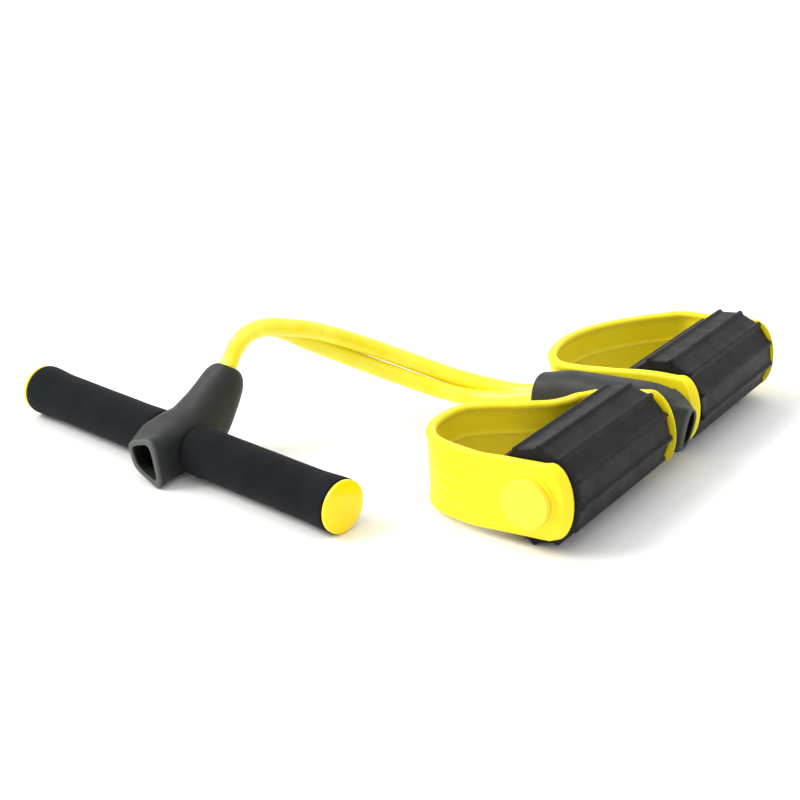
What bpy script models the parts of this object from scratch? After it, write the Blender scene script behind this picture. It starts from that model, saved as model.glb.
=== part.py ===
"""Pedal resistance band: a bar with foam grips, joined by two elastic tubes to a pair of foot rollers.

Metres, +Z up. The band lies on the floor as it is put down after use.
The pedal axle runs along Y. The handle bar lies to its left, turned by HANDLE_HEADING.
"""

import math

import bmesh
import bpy
from mathutils import Matrix, Vector

# Fits
SEAT = 0.0003
RUNNING_FIT = 0.0004

# Handle
HANDLE_LENGTH = 0.275
BAR_DIAMETER = 0.014
BAR_WALL = 0.0012
GRIP_WAIST_DIAMETER = 0.0302
GRIP_END_DIAMETER = 0.0322
GRIP_FLARE_LENGTH = 0.020
GRIP_EDGE_RADIUS = 0.0015
HANDLE_CAP_EDGE = 0.0008
HANDLE_CAP_DOME = 0.0024
HANDLE_CAP_INSET = 0.0006
CAP_STEM_LENGTH = 0.016
CAP_STEM_BARB = 0.0004
HANDLE_CENTRE = (-0.0625, -0.1379)
HANDLE_HEADING = math.radians(-98.4)

# Pedals
ROLLER_DIAMETER = 0.0587
ROLLER_LENGTH = 0.115
ROLLER_RIDGES = 12
RIDGE_HEIGHT = 0.0020
RIDGE_TOP_WIDTH = 0.0018
RIDGE_FOOT_WIDTH = 0.0056
ROLLER_NEAR_TURN = math.radians(0.0)
ROLLER_FAR_TURN = math.radians(8.0)
CORE_DIAMETER = 0.024
CORE_PROUD = 0.0006
AXLE_WALL = 0.0012
PEDAL_CENTRE = (0.1665, 0.0233)
PEDAL_CAP_DIAMETER = 0.0288
PEDAL_CAP_HEAD = 0.0034
PEDAL_CAP_EDGE_RADIUS = 0.0008

# Foot straps
STRAP_WIDTH = 0.0443
STRAP_THICKNESS = 0.0042
STRAP_END_THICKNESS = 0.0055
STRAP_NEAR_INNER_REACH = 0.0295
STRAP_NEAR_OUTER_REACH = 0.0240
STRAP_FAR_INNER_REACH = 0.0270
STRAP_FAR_OUTER_REACH = 0.0285
STRAP_END_ROUND = 0.0120
STRAP_END_BEVEL = 0.0045
STRAP_BEND_CLEARANCE = 0.001
STRAP_NEAR_LOOP = 0.0514
STRAP_FAR_LOOP = 0.0530
STRAP_LEAD = 0.006
STRAP_STEP = 0.0122
STRAP_TILT = math.radians(-3.9)
STRAP_THICK_END = 0.042
STRAP_THIN_OVER = 0.014
STRAP_PLAIN_END = 0.048
STRAP_FORM_OVER = 0.018
STRAP_CORNER = 0.0014
STRAP_BEAD = 0.0007
STRAP_INNER_BEAD = 0.0008
STRAP_BEAD_WIDTH = 0.0045
STRAP_BEAD_SLOPE = 0.0009
STRAP_GROOVE = 0.0005
STRAP_GROOVE_WIDTH = 0.0036
STRAP_GROOVE_PITCH = 0.0075
STRAP_RIB = 0.0006
STRAP_RIB_WIDTH = 0.0060
BOSS_DIAMETER = 0.0325
BOSS_HEIGHT = 0.0028
BOSS_FILLET = 0.0025

# Connectors
CONNECTOR_WIDTH = 0.030
CONNECTOR_TOP = 0.0216
MOUTH_REACH = 0.032
MOUTH_WALL = 0.0034
MOUTH_INNER_WALL = 0.0018
MOUTH_DEPTH = 0.0190
MOUTH_LIP = 0.0010
MOUTH_LEAN = math.radians(3.0)
MOUTH_SHIFT = 0.0015
HANDLE_MOUTH_WIDTH = 0.0270
HANDLE_MOUTH_TOP = 0.0138
HANDLE_MOUTH_BOTTOM = 0.0103
HANDLE_MOUTH_TAPER = 0.55
HANDLE_MOUTH_SQUARENESS = 4.2
HANDLE_MOUTH_SKEW = 0.0045
PEDAL_MOUTH_WIDTH = 0.0160
PEDAL_MOUTH_TOP = 0.0130
PEDAL_MOUTH_BOTTOM = 0.0138
PEDAL_MOUTH_TAPER = 0.38
PEDAL_MOUTH_SQUARENESS = 2.6
NECK_TIP_WIDTH = 0.0258
HANDLE_NECK_REACH = 0.053
HANDLE_NECK_RISE = math.radians(41.5)
HANDLE_NECK_HEIGHT = 0.0242
HANDLE_NECK_DOME = 0.0085
HANDLE_UNDERSIDE = 0.0160
PEDAL_NECK_REACH = 0.072
PEDAL_NECK_RISE = math.radians(-1.0)
PEDAL_NECK_HEIGHT = 0.0285
PEDAL_NECK_DOME = 0.0052
PEDAL_UNDERSIDE = 0.0190

# Elastic tubes
TUBE_DIAMETER = 0.011
TUBE_GAP = 0.0004
TUBE_STEP = 0.0088
TUBE_BORE_FIT = 0.00035
TUBE_END_HEIGHT = 0.0094
TUBE_END_PROUD = 0.0028
STOPPER_DIAMETER = 0.0118
STOPPER_LENGTH = 0.004

ROUND_STEPS = 28

AXLE_HEIGHT = ROLLER_DIAMETER / 2
BAR_HEIGHT = GRIP_END_DIAMETER / 2
INNER_LEG_FACE = CONNECTOR_WIDTH / 2 + RUNNING_FIT
ROLLER_INNER_END = INNER_LEG_FACE + STRAP_END_THICKNESS + RUNNING_FIT + CORE_PROUD
ROLLER_OUTER_END = ROLLER_INNER_END + ROLLER_LENGTH
OUTER_LEG_FACE = ROLLER_OUTER_END + CORE_PROUD + RUNNING_FIT
AXLE_END = OUTER_LEG_FACE + STRAP_END_THICKNESS + BOSS_HEIGHT
STOPPER_SPACING = STOPPER_DIAMETER + TUBE_GAP
TUBE_SPACING = TUBE_DIAMETER + TUBE_GAP
TUBE_OVER_BAR = BAR_DIAMETER / 2 + 2 * RUNNING_FIT + SEAT + TUBE_DIAMETER / 2


def clear_scene():
    for item in list(bpy.data.objects):
        bpy.data.objects.remove(item, do_unlink=True)


def make_collections():
    parts = bpy.data.collections.new("pedal_resistance_band")
    cutters = bpy.data.collections.new("cutters")
    bpy.context.scene.collection.children.link(parts)
    bpy.context.scene.collection.children.link(cutters)
    return parts, cutters


def material(name, colour, roughness, metallic=0.0):
    made = bpy.data.materials.new(name)
    made.use_nodes = True
    shader = made.node_tree.nodes["Principled BSDF"]
    shader.inputs["Base Color"].default_value = (*colour, 1.0)
    shader.inputs["Roughness"].default_value = roughness
    shader.inputs["Metallic"].default_value = metallic
    return made


def new_object(name, mesh, collection, parent=None, finish=None):
    piece = bpy.data.objects.new(name, mesh)
    collection.objects.link(piece)
    piece.parent = parent
    if finish is not None:
        mesh.materials.append(finish)
    return piece


def axis_empty(name, centre, height, heading, collection):
    """An empty on a joint axis: its Y runs along the bar or axle, its -X along the connector's neck."""
    holder = bpy.data.objects.new(name, None)
    collection.objects.link(holder)
    holder.location = (centre[0], centre[1], height)
    holder.rotation_euler = (0.0, 0.0, heading)
    return holder


def along_y(piece, y=0.0, flip=False, turn=0.0):
    """Lays a shape turned about Z along the parent's Y; flip points its top at -Y."""
    lay = Matrix.Rotation(math.radians(90 if flip else -90), 4, "X")
    spin = Matrix.Rotation(turn, 4, "Y")
    piece.matrix_local = Matrix.Translation((0.0, y, 0.0)) @ spin @ lay


def smooth_mesh(mesh, angle=40):
    mesh.shade_smooth()
    mesh.set_sharp_from_angle(angle=math.radians(angle))


def turned(name, profile, collection, parent, finish, closed=True, steps=ROUND_STEPS):
    """A profile of (radius, height), outer side top to bottom, spun about Z by a Screw modifier."""
    mesh = bpy.data.meshes.new(name)
    points = [(radius, 0.0, height) for radius, height in profile]
    count = len(points)
    edges = [(i, (i + 1) % count) for i in range(count if closed else count - 1)]
    mesh.from_pydata(points, edges, [])
    piece = new_object(name, mesh, collection, parent, finish)
    screw = piece.modifiers.new("turn", "SCREW")
    screw.axis = "Z"
    screw.steps = steps
    screw.render_steps = steps
    screw.use_merge_vertices = True
    screw.merge_threshold = 0.00005
    screw.use_smooth_shade = True
    return piece


def arc(centre, radius, start, end, count):
    """Points on an arc in the profile plane, angles in degrees from +radius towards +height."""
    step = (end - start) / (count - 1)
    angles = [math.radians(start + step * i) for i in range(count)]
    return [(centre[0] + radius * math.cos(a), centre[1] + radius * math.sin(a)) for a in angles]


def cut(piece, cutter, operation="DIFFERENCE"):
    boolean = piece.modifiers.new(operation.lower(), "BOOLEAN")
    boolean.operation = operation
    boolean.object = cutter
    boolean.solver = "EXACT"


def as_cutter(piece):
    piece.hide_render = True
    piece.display_type = "WIRE"
    return piece


def rod_cutter(name, radius, length, cutters, parent, y=0.0):
    """A plain rod along the parent's Y, centred at y, that cuts a bore."""
    bpy.ops.mesh.primitive_cylinder_add(vertices=ROUND_STEPS, radius=radius, depth=length)
    rod = bpy.context.active_object
    rod.name = name
    for owner in list(rod.users_collection):
        owner.objects.unlink(rod)
    cutters.objects.link(rod)
    rod.parent = parent
    along_y(rod, y)
    return as_cutter(rod)


def ease(t):
    t = min(max(t, 0.0), 1.0)
    return t * t * (3.0 - 2.0 * t)


def between(table, s):
    """Reads rows of (station, values...) at station s with an eased blend."""
    if s <= table[0][0]:
        return table[0][1:]
    for low, high in zip(table, table[1:]):
        if s <= high[0]:
            t = ease((s - low[0]) / (high[0] - low[0]))
            return tuple(a + (b - a) * t for a, b in zip(low[1:], high[1:]))
    return table[-1][1:]


def spline(points, spacing):
    """Points at an even spacing on a smooth curve (Catmull-Rom) through the given ones."""
    given = [Vector(p) for p in points]
    ends = [given[0] * 2 - given[1]] + given + [given[-1] * 2 - given[-2]]
    dense = []
    for a, b, c, d in zip(ends, ends[1:], ends[2:], ends[3:]):
        for i in range(24):
            t = i / 24
            dense.append(0.5 * (2 * b + (c - a) * t + (2 * a - 5 * b + 4 * c - d) * t * t
                                + (3 * b - a - 3 * c + d) * t * t * t))
    dense.append(given[-1])
    total = sum((q - p).length for p, q in zip(dense, dense[1:]))
    count = max(2, round(total / spacing))
    even = [dense[0]]
    run = 0.0
    wanted = total / count
    for p, q in zip(dense, dense[1:]):
        step = (q - p).length
        while step > 0 and run + step >= wanted * len(even) and len(even) < count:
            even.append(p.lerp(q, (wanted * len(even) - run) / step))
        run += step
    even.append(dense[-1])
    return even


def loft(name, rings, collection, parent, finish):
    """A closed solid through rings of equal count, each end filled with one face."""
    shape = bmesh.new()
    rows = [[shape.verts.new(p) for p in ring] for ring in rings]
    for low, high in zip(rows, rows[1:]):
        for i in range(len(low)):
            j = (i + 1) % len(low)
            shape.faces.new((low[i], low[j], high[j], high[i]))
    shape.faces.new(list(reversed(rows[0])))
    shape.faces.new(rows[-1])
    bmesh.ops.recalc_face_normals(shape, faces=shape.faces[:])
    mesh = bpy.data.meshes.new(name)
    shape.to_mesh(mesh)
    shape.free()
    smooth_mesh(mesh)
    return new_object(name, mesh, collection, parent, finish)


# Steel tubes

def steel_tube(name, length, diameter, wall, collection, parent, finish):
    outer = diameter / 2
    inner = outer - wall
    half = length / 2
    profile = [(outer, half), (outer, -half), (inner, -half), (inner, half)]
    tube = turned(name, profile, collection, parent, finish)
    along_y(tube)
    return tube


# Handle grips and caps

def grip(name, side, collection, parent, finish):
    """Foam sleeve: a slim waist with soft flares at both ends."""
    start = CONNECTOR_WIDTH / 2 + SEAT
    end = HANDLE_LENGTH / 2 - HANDLE_CAP_EDGE - HANDLE_CAP_DOME - SEAT
    length = end - start
    waist = GRIP_WAIST_DIAMETER / 2
    flare = GRIP_END_DIAMETER / 2 - waist
    bore = BAR_DIAMETER / 2 + SEAT
    edge = GRIP_EDGE_RADIUS
    profile = arc((waist + flare - edge, length - edge), edge, 90, 0, 3)
    for t in (0.5, 1.0):
        profile.append((waist + flare * (1 - ease(t)), length - edge - GRIP_FLARE_LENGTH * t))
    profile.append((waist, edge + GRIP_FLARE_LENGTH))
    profile += arc((waist + flare * 0.5 - edge, edge), edge, 0, -90, 3)
    profile += [(bore, 0.0), (bore, length)]
    piece = turned(name, profile, collection, parent, finish)
    along_y(piece, side * start, flip=side < 0)
    return piece


def stem_profile(radius, length):
    """The pushed-in stem of a cap, with one low barb, from its root down to its closed tip."""
    points = [(radius - CAP_STEM_BARB, -length * 0.6), (radius, -length * 0.7)]
    points += [(radius - 0.0014, -length), (0.0, -length)]
    return points


def handle_cap(name, side, collection, parent, finish):
    """Glossy domed disc the size of the grip's end, on a stem pushed into the bar."""
    radius = GRIP_END_DIAMETER / 2 - HANDLE_CAP_INSET
    stem = BAR_DIAMETER / 2 - BAR_WALL - SEAT
    dome = HANDLE_CAP_DOME
    profile = [(0.0, dome)]
    for t in (0.4, 0.7, 0.9):
        profile.append((radius * t, dome * (1 - t ** 2.6)))
    profile += [(radius * 0.985, dome * 0.06), (radius, -0.0004), (radius, -HANDLE_CAP_EDGE)]
    profile += [(stem - CAP_STEM_BARB, -HANDLE_CAP_EDGE)]
    profile += [(r, z - HANDLE_CAP_EDGE) for r, z in stem_profile(stem, CAP_STEM_LENGTH)]
    piece = turned(name, profile, collection, parent, finish, closed=False)
    along_y(piece, side * (HANDLE_LENGTH / 2 - dome), flip=side < 0)
    return piece


# Pedal rollers

def roller(name, side, turn, collection, parent, finish):
    """Foam sleeve with flat-topped ridges along it, standing on wide flats."""
    ridge_top = ROLLER_DIAMETER / 2
    flat = ridge_top - RIDGE_HEIGHT
    pitch = 2 * math.pi / ROLLER_RIDGES
    top_half = RIDGE_TOP_WIDTH / 2 / ridge_top
    foot_half = RIDGE_FOOT_WIDTH / 2 / ridge_top
    corner = ridge_top / math.cos(top_half)
    outline = []
    for i in range(ROLLER_RIDGES):
        middle = pitch * i - math.pi / 2
        outline += [(flat, middle - foot_half), (corner, middle - top_half)]
        outline += [(corner, middle + top_half), (flat, middle + foot_half)]
    bore = CORE_DIAMETER / 2 + SEAT
    mesh = bpy.data.meshes.new(name)
    shape = bmesh.new()
    outer = [shape.verts.new((r * math.cos(a), r * math.sin(a), 0.0)) for r, a in outline]
    inner = [shape.verts.new((bore * math.cos(a), bore * math.sin(a), 0.0)) for r, a in outline]
    count = len(outline)
    for i in range(count):
        j = (i + 1) % count
        shape.faces.new((outer[i], outer[j], inner[j], inner[i]))
    shape.to_mesh(mesh)
    shape.free()
    piece = new_object(name, mesh, collection, parent, finish)
    solid = piece.modifiers.new("length", "SOLIDIFY")
    solid.thickness = ROLLER_LENGTH
    solid.offset = 0.0
    middle_y = side * (ROLLER_INNER_END + ROLLER_LENGTH / 2)
    piece.matrix_local = (Matrix.Translation((0.0, middle_y, 0.0)) @ Matrix.Rotation(turn, 4, "Y")
                          @ Matrix.Rotation(math.radians(90), 4, "X"))
    return piece


def roller_core(name, side, collection, parent, finish):
    """Plastic sleeve inside the foam, a little longer than it, that turns on the axle."""
    outer = CORE_DIAMETER / 2
    bore = BAR_DIAMETER / 2 + RUNNING_FIT
    half = ROLLER_LENGTH / 2 + CORE_PROUD
    profile = [(outer - 0.0006, half), (outer, half - 0.0006), (outer, -half + 0.0006)]
    profile += [(outer - 0.0006, -half), (bore, -half), (bore, half)]
    piece = turned(name, profile, collection, parent, finish)
    along_y(piece, side * (ROLLER_INNER_END + ROLLER_LENGTH / 2))
    return piece


def pedal_cap(name, side, collection, parent, finish):
    """Flat round button over the strap's boss, on a stem pushed into the axle."""
    radius = PEDAL_CAP_DIAMETER / 2
    stem = BAR_DIAMETER / 2 - AXLE_WALL - SEAT
    head = PEDAL_CAP_HEAD
    edge = PEDAL_CAP_EDGE_RADIUS
    profile = [(0.0, head)] + arc((radius - edge, head - edge), edge, 90, 0, 3)
    profile += [(radius, 0.0), (stem - CAP_STEM_BARB, 0.0)]
    profile += stem_profile(stem, CAP_STEM_LENGTH)
    piece = turned(name, profile, collection, parent, finish, closed=False)
    along_y(piece, side * (AXLE_END + SEAT), flip=side < 0)
    return piece


# Foot straps

# The middle line of each loop in plan, from the inner leg round to the outer leg, as
# (share of the loop's reach beyond the leg's bend, share of the way from the inner to the outer leg).
# The near loop lies pushed over towards its outer leg, as soft rubber does.
NEAR_LINE = [(0.126, 0.049), (0.171, 0.125), (0.233, 0.207), (0.432, 0.309), (0.706, 0.403),
             (0.938, 0.513), (1.0, 0.656), (0.911, 0.815), (0.638, 0.933)]
FAR_LINE = [(0.383, 0.004), (0.675, 0.017), (0.858, 0.089), (0.951, 0.203), (1.0, 0.342),
            (0.968, 0.497), (0.826, 0.656), (0.589, 0.807), (0.336, 0.925)]
# How the soft band hangs, in degrees, at shares of its length: how far its upper edge leans into the
# loop, and how much lower than the rest it is turned on the axle.
NEAR_HANG = [(0.0, 0.0, 7.5), (0.17, 0.0, 7.5), (0.25, 15.0, 6.5), (0.36, 8.0, 1.5), (0.50, 0.0, 0.0),
             (1.0, 0.0, 0.0)]
FAR_HANG = [(0.0, 0.0, -3.0), (0.09, 0.0, 0.0), (0.20, 0.0, 4.0), (0.30, -5.0, 2.3), (0.40, -5.5, 0.3),
            (0.60, 0.0, 0.0), (1.0, 0.0, 0.0)]


def strap_path(line, loop, inner_reach, outer_reach):
    """Middle line with one straight leg at each end, beside the connector and outside the roller."""
    bend = ROLLER_DIAMETER / 2 + STRAP_BEND_CLEARANCE
    inner = INNER_LEG_FACE + STRAP_END_THICKNESS / 2
    outer = OUTER_LEG_FACE + STRAP_END_THICKNESS / 2
    path = [(inner_reach, inner), (bend * 0.2, inner), (-bend * 0.33, inner), (-bend * 0.6, inner)]
    path += [(-bend, inner + STRAP_BEND_CLEARANCE / 2)]
    path += [(-bend - loop * out, inner + (outer - inner) * share) for out, share in line]
    path += [(-bend - STRAP_LEAD, outer), (-bend * 0.6, outer), (0.0, outer), (outer_reach, outer)]
    return spline([(x, y, 0.0) for x, y in path], STRAP_STEP)


def strap_section(depth, fade):
    """The band's outline as (offset from the middle line, height), clockwise from the top.

    depth is the half thickness; fade is 0 at the flat ends and 1 where beads, grooves and rib are full.
    """
    half = STRAP_WIDTH / 2
    bead = STRAP_BEAD * fade
    bead_foot = half - STRAP_BEAD_WIDTH
    aside = STRAP_GROOVE_WIDTH / 2
    rib = STRAP_RIB_WIDTH / 2
    outer = [(0.3 * depth, half), (depth + bead, half - STRAP_CORNER)]
    outer += [(depth + bead, bead_foot + STRAP_BEAD_SLOPE), (depth, bead_foot - STRAP_BEAD_SLOPE)]
    for line in (1.0, 0.0, -1.0):
        z = line * STRAP_GROOVE_PITCH
        outer += [(depth, z + aside), (depth - STRAP_GROOVE * fade, z), (depth, z - aside)]
    outer += [(depth, -bead_foot + STRAP_BEAD_SLOPE), (depth + bead, -bead_foot - STRAP_BEAD_SLOPE)]
    outer += [(depth + bead, -half + STRAP_CORNER), (0.3 * depth, -half)]
    lip = depth + STRAP_INNER_BEAD * fade
    inner = [(-lip, -half + STRAP_CORNER), (-lip, -bead_foot - STRAP_BEAD_SLOPE)]
    inner += [(-depth, -bead_foot + STRAP_BEAD_SLOPE), (-depth, -rib), (-depth - STRAP_RIB * fade, 0.0)]
    inner += [(-depth, rib), (-depth, bead_foot - STRAP_BEAD_SLOPE)]
    inner += [(-lip, bead_foot + STRAP_BEAD_SLOPE), (-lip, half - STRAP_CORNER)]
    return outer + inner


def strap_stations(path):
    """(place, direction, run from the start) along the band, closer together at its rounded ends."""
    runs = [0.0]
    for a, b in zip(path, path[1:]):
        runs.append(runs[-1] + (b - a).length)
    total = runs[-1]
    start, finish = (path[1] - path[0]).normalized(), (path[-1] - path[-2]).normalized()
    stations = []
    for share in (0.015, 0.08, 0.22, 0.45, 0.75):
        step = STRAP_END_ROUND * share
        stations.append((path[0] + start * step, start, step))
        stations.append((path[-1] - finish * step, finish, total - step))
    for i in range(1, len(path) - 1):
        if STRAP_END_ROUND * 0.9 < runs[i] < total - STRAP_END_ROUND * 0.9:
            stations.append((path[i], (path[i + 1] - path[i - 1]).normalized(), runs[i]))
    return sorted(stations, key=lambda item: item[2]), total


def strap(name, side, path, hang, collection, cutters, parent, finish):
    """Moulded band swept along its loop; its ends thicken, round off and carry the axle."""
    stations, total = strap_stations(path)
    rings = []
    for point, along, run in stations:
        outward = Vector((-along.y, along.x, 0.0))
        lean, twist = (math.radians(value) for value in between(hang, run / total))
        lower = Matrix.Rotation(-twist, 3, "Y")
        from_end = min(run, total - run)
        fade = ease((from_end - STRAP_PLAIN_END) / STRAP_FORM_OVER)
        thinned = ease((from_end - STRAP_THICK_END) / STRAP_THIN_OVER)
        thick = STRAP_END_THICKNESS + (STRAP_THICKNESS - STRAP_END_THICKNESS) * thinned
        height = math.sqrt(1.0 - (1.0 - min(from_end / STRAP_END_ROUND, 1.0)) ** 2)
        slim = 0.35 + 0.65 * math.sqrt(1.0 - (1.0 - min(from_end / STRAP_END_BEVEL, 1.0)) ** 2)
        ring = []
        for offset, z in strap_section(thick / 2, fade):
            moved = (offset + thick / 2) * slim - thick / 2
            place = point + outward * (moved * math.cos(lean) - z * height * math.sin(lean))
            rise = z * height * math.cos(lean) + moved * math.sin(lean)
            ring.append(lower @ Vector((place.x, side * place.y, rise)))
        rings.append(ring)
    band = loft(name, rings, collection, parent, finish)
    band.rotation_euler = (0.0, STRAP_TILT, 0.0)
    boss = strap_boss(f"{name}_boss", side, cutters, band)
    cut(band, boss, "UNION")
    bore = BAR_DIAMETER / 2 + RUNNING_FIT
    cut(band, rod_cutter(f"{name}_bore", bore, 2 * AXLE_END + 0.02, cutters, band))
    return band


def strap_boss(name, side, cutters, parent):
    """Raised round seat for the cap on the outer leg, with a soft fillet at its foot."""
    radius = BOSS_DIAMETER / 2
    fillet = BOSS_FILLET
    sunk = STRAP_END_THICKNESS * 0.6
    height = BOSS_HEIGHT
    profile = [(0.0, height), (radius - 0.0005, height), (radius, height - 0.0005)]
    profile += [(radius + 0.25 * fillet, 0.30 * fillet), (radius + fillet, 0.0), (radius + fillet, -sunk)]
    profile += [(0.0, -sunk)]
    boss = turned(name, profile, cutters, parent, None, closed=False)
    along_y(boss, side * (OUTER_LEG_FACE + STRAP_END_THICKNESS), flip=side < 0)
    return as_cutter(boss)


# Connectors

def spine(reach, rise):
    """Middle line of a connector from mouth to neck tip; a raised neck curls up from the bar."""
    tip = (-reach * math.cos(rise), reach * math.sin(rise))
    points = [(MOUTH_REACH, 0.0), (MOUTH_REACH * 0.55, 0.0), (MOUTH_REACH * 0.2, 0.0)]
    curl = ((0.2, 0.06), (0.48, 0.25), (0.76, 0.58), (1.0, 1.0))
    points += [(tip[0] * along, tip[1] * up) for along, up in curl]
    return spline([(x, 0.0, z) for x, z in points], 0.0066)


def connector_ring(centre, along, half_width, top, bottom, taper, power, skew, shift, flat_side, count=28):
    """One section: a rounded box or oval across the spine, lower on the side away from flat_side.

    skew pushes its lower edge towards flat_side, as soft rubber spreads where it rests on the floor.
    """
    up = Vector((along.z, 0.0, -along.x))
    ring = []
    for i in range(count):
        angle = 2 * math.pi * i / count
        c, s = math.cos(angle), math.sin(angle)
        across = math.copysign(abs(c) ** (2 / power), c)
        rise = math.copysign(abs(s) ** (2 / power), s)
        height = (top if s > 0 else bottom) * (1 + taper * across * flat_side)
        aside = half_width * across + flat_side * (shift + skew * (1 - rise) / 2)
        ring.append(centre + Vector((0.0, aside, 0.0)) + up * rise * height)
    return ring


def connector_sections(reach, underside, skew, mouth, neck_height):
    """Rows of (place along the spine, half width, top, bottom, taper, roundness power, skew, shift).

    mouth is (width, top, bottom, taper, squareness) of the open end.
    """
    half = CONNECTOR_WIDTH / 2
    tip = NECK_TIP_WIDTH / 2
    high = neck_height / 2
    m = MOUTH_REACH
    width, top, bottom, taper, square = mouth
    inward = (half - width / 2) * 0.15
    rows = [(-m, width / 2, top, bottom, taper, square, skew, MOUTH_SHIFT)]
    rows += [(-m * 0.75, half - inward, top * 1.18, underside * 0.78, taper * 0.6, 4.2, skew * 0.6, 0.0006)]
    rows += [(-m * 0.52, half, 0.0192, underside * 0.95, 0.06, 4.0, 0.0, 0.0)]
    rows += [(0.0, half, CONNECTOR_TOP, underside, 0.0, 2.9, 0.0, 0.0)]
    rows += [(reach * 0.34, half - 0.0003, CONNECTOR_TOP, underside, 0.0, 2.8, 0.0, 0.0)]
    rows += [(reach * 0.68, tip + 0.0006, high + 0.0032, high + 0.0020, 0.0, 2.3, 0.0, 0.0)]
    rows += [(reach, tip, high, high, 0.0, 2.1, 0.0, 0.0)]
    return rows


def connector(name, neck_form, underside, flat_side, skew, mouth_form, tubes, collection, cutters, parent,
              finish):
    """Soft moulded sleeve: mouth, cross bore for the bar, and a thick neck round the two tubes.

    neck_form is (reach, rise, height, dome) of the neck.
    """
    reach, rise, neck_height, dome = neck_form
    path = spine(reach, rise)
    rows = connector_sections(reach, underside, skew, mouth_form, neck_height)
    lengths = [0.0]
    for a, b in zip(path, path[1:]):
        lengths.append(lengths[-1] + (b - a).length)
    neck = lengths[-1] - MOUTH_REACH
    stations = []
    for i, point in enumerate(path):
        along = (path[min(i + 1, len(path) - 1)] - path[max(i - 1, 0)]).normalized()
        s = lengths[i] - MOUTH_REACH
        along = Matrix.Rotation(MOUTH_LEAN * ease(-s / MOUTH_REACH), 3, "Y") @ along
        stations.append((point, along, *between(rows, s if s < 0 else s * reach / neck)))
    mouth, tip = stations[0], stations[-1]

    def ring(row, shift, shrink):
        point, along, half, top, bottom, *form = row
        return connector_ring(point + along * shift, along, half - shrink, top - shrink, bottom - shrink,
                              *form, flat_side)

    rings = [ring(mouth, 0.0, MOUTH_LIP), ring(mouth, MOUTH_LIP, 0.0)]
    rings += [ring(row, 0.0, 0.0) for row in stations[1:-2]]
    for share, shrink in ((1.0, 0.0), (0.6, 0.10), (0.3, 0.25), (0.08, 0.50), (0.0, 0.65)):
        rings.append(ring(tip, -dome * share, dome * shrink))
    body = loft(name, rings, collection, parent, finish)

    hollow = [ring(mouth, -0.002, MOUTH_WALL - 0.0006), ring(mouth, 0.0, MOUTH_WALL - 0.0004)]
    steps = 4
    for i in range(1, steps + 1):
        depth = MOUTH_DEPTH * i / steps
        s = depth - MOUTH_REACH
        row = (mouth[0] + mouth[1] * depth, mouth[1], *between(rows, s))
        wall = MOUTH_WALL + (MOUTH_INNER_WALL - MOUTH_WALL) * i / steps
        hollow.append(ring(row, 0.0, wall))
    cut(body, as_cutter(loft(f"{name}_hollow", hollow, cutters, parent, None)))
    bore = BAR_DIAMETER / 2 + RUNNING_FIT
    cut(body, rod_cutter(f"{name}_bore", bore, CONNECTOR_WIDTH + 0.01, cutters, parent))
    for tube in tubes:
        cut(body, tube)
    return body


# Elastic tubes

# The free stretch between the two necks, as the middle of the pair, from the handle to the pedals.
# X and Y are measured from the middle of the axle, Z from the floor.
FREE_ROUTE = [(-0.2238, -0.1163, 0.0585), (-0.2224, -0.1100, 0.0662), (-0.2202, -0.1015, 0.0708),
              (-0.2176, -0.0933, 0.0712), (-0.2130, -0.0817, 0.0692), (-0.2022, -0.0627, 0.0600),
              (-0.1868, -0.0430, 0.0484), (-0.1663, -0.0254, 0.0368), (-0.1448, -0.0135, 0.0280),
              (-0.1261, -0.0068, 0.0232), (-0.1060, -0.0025, 0.0220), (-0.0888, -0.0005, 0.0232)]
# How far the pair is rolled about its own line, in degrees, at shares of its length.
PAIR_ROLL = [(0.0, 170.0), (0.035, 178.0), (0.07, 175.0), (0.14, 138.0), (0.19, 134.0), (0.25, 154.0),
             (0.29, 158.0), (0.36, 125.0), (0.51, 72.0), (0.63, 42.0), (0.75, 2.0), (0.965, 0.0),
             (1.0, -10.0)]


def inside_route(reach, rise, parent, outwards):
    """The pair's line inside a connector, from its ends in the mouth, over the bar, to the neck tip."""
    tip = (-reach * math.cos(rise), reach * math.sin(rise))
    over = TUBE_OVER_BAR
    ends = MOUTH_REACH - MOUTH_DEPTH + TUBE_END_PROUD
    points = [(ends, TUBE_END_HEIGHT), (ends * 0.62, over * 0.3 + TUBE_END_HEIGHT * 0.7), (0.0, over)]
    points += [(tip[0] * 0.22, over * 0.86 + tip[1] * 0.03), (tip[0] * 0.46, over * 0.42 + tip[1] * 0.28)]
    points += [(tip[0] * 0.74, over * 0.06 + tip[1] * 0.62), (tip[0] * 0.98, tip[1] * 0.98)]
    placed = [parent.matrix_world @ Vector((x, 0.0, z)) for x, z in points]
    return placed if outwards else list(reversed(placed))


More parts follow.
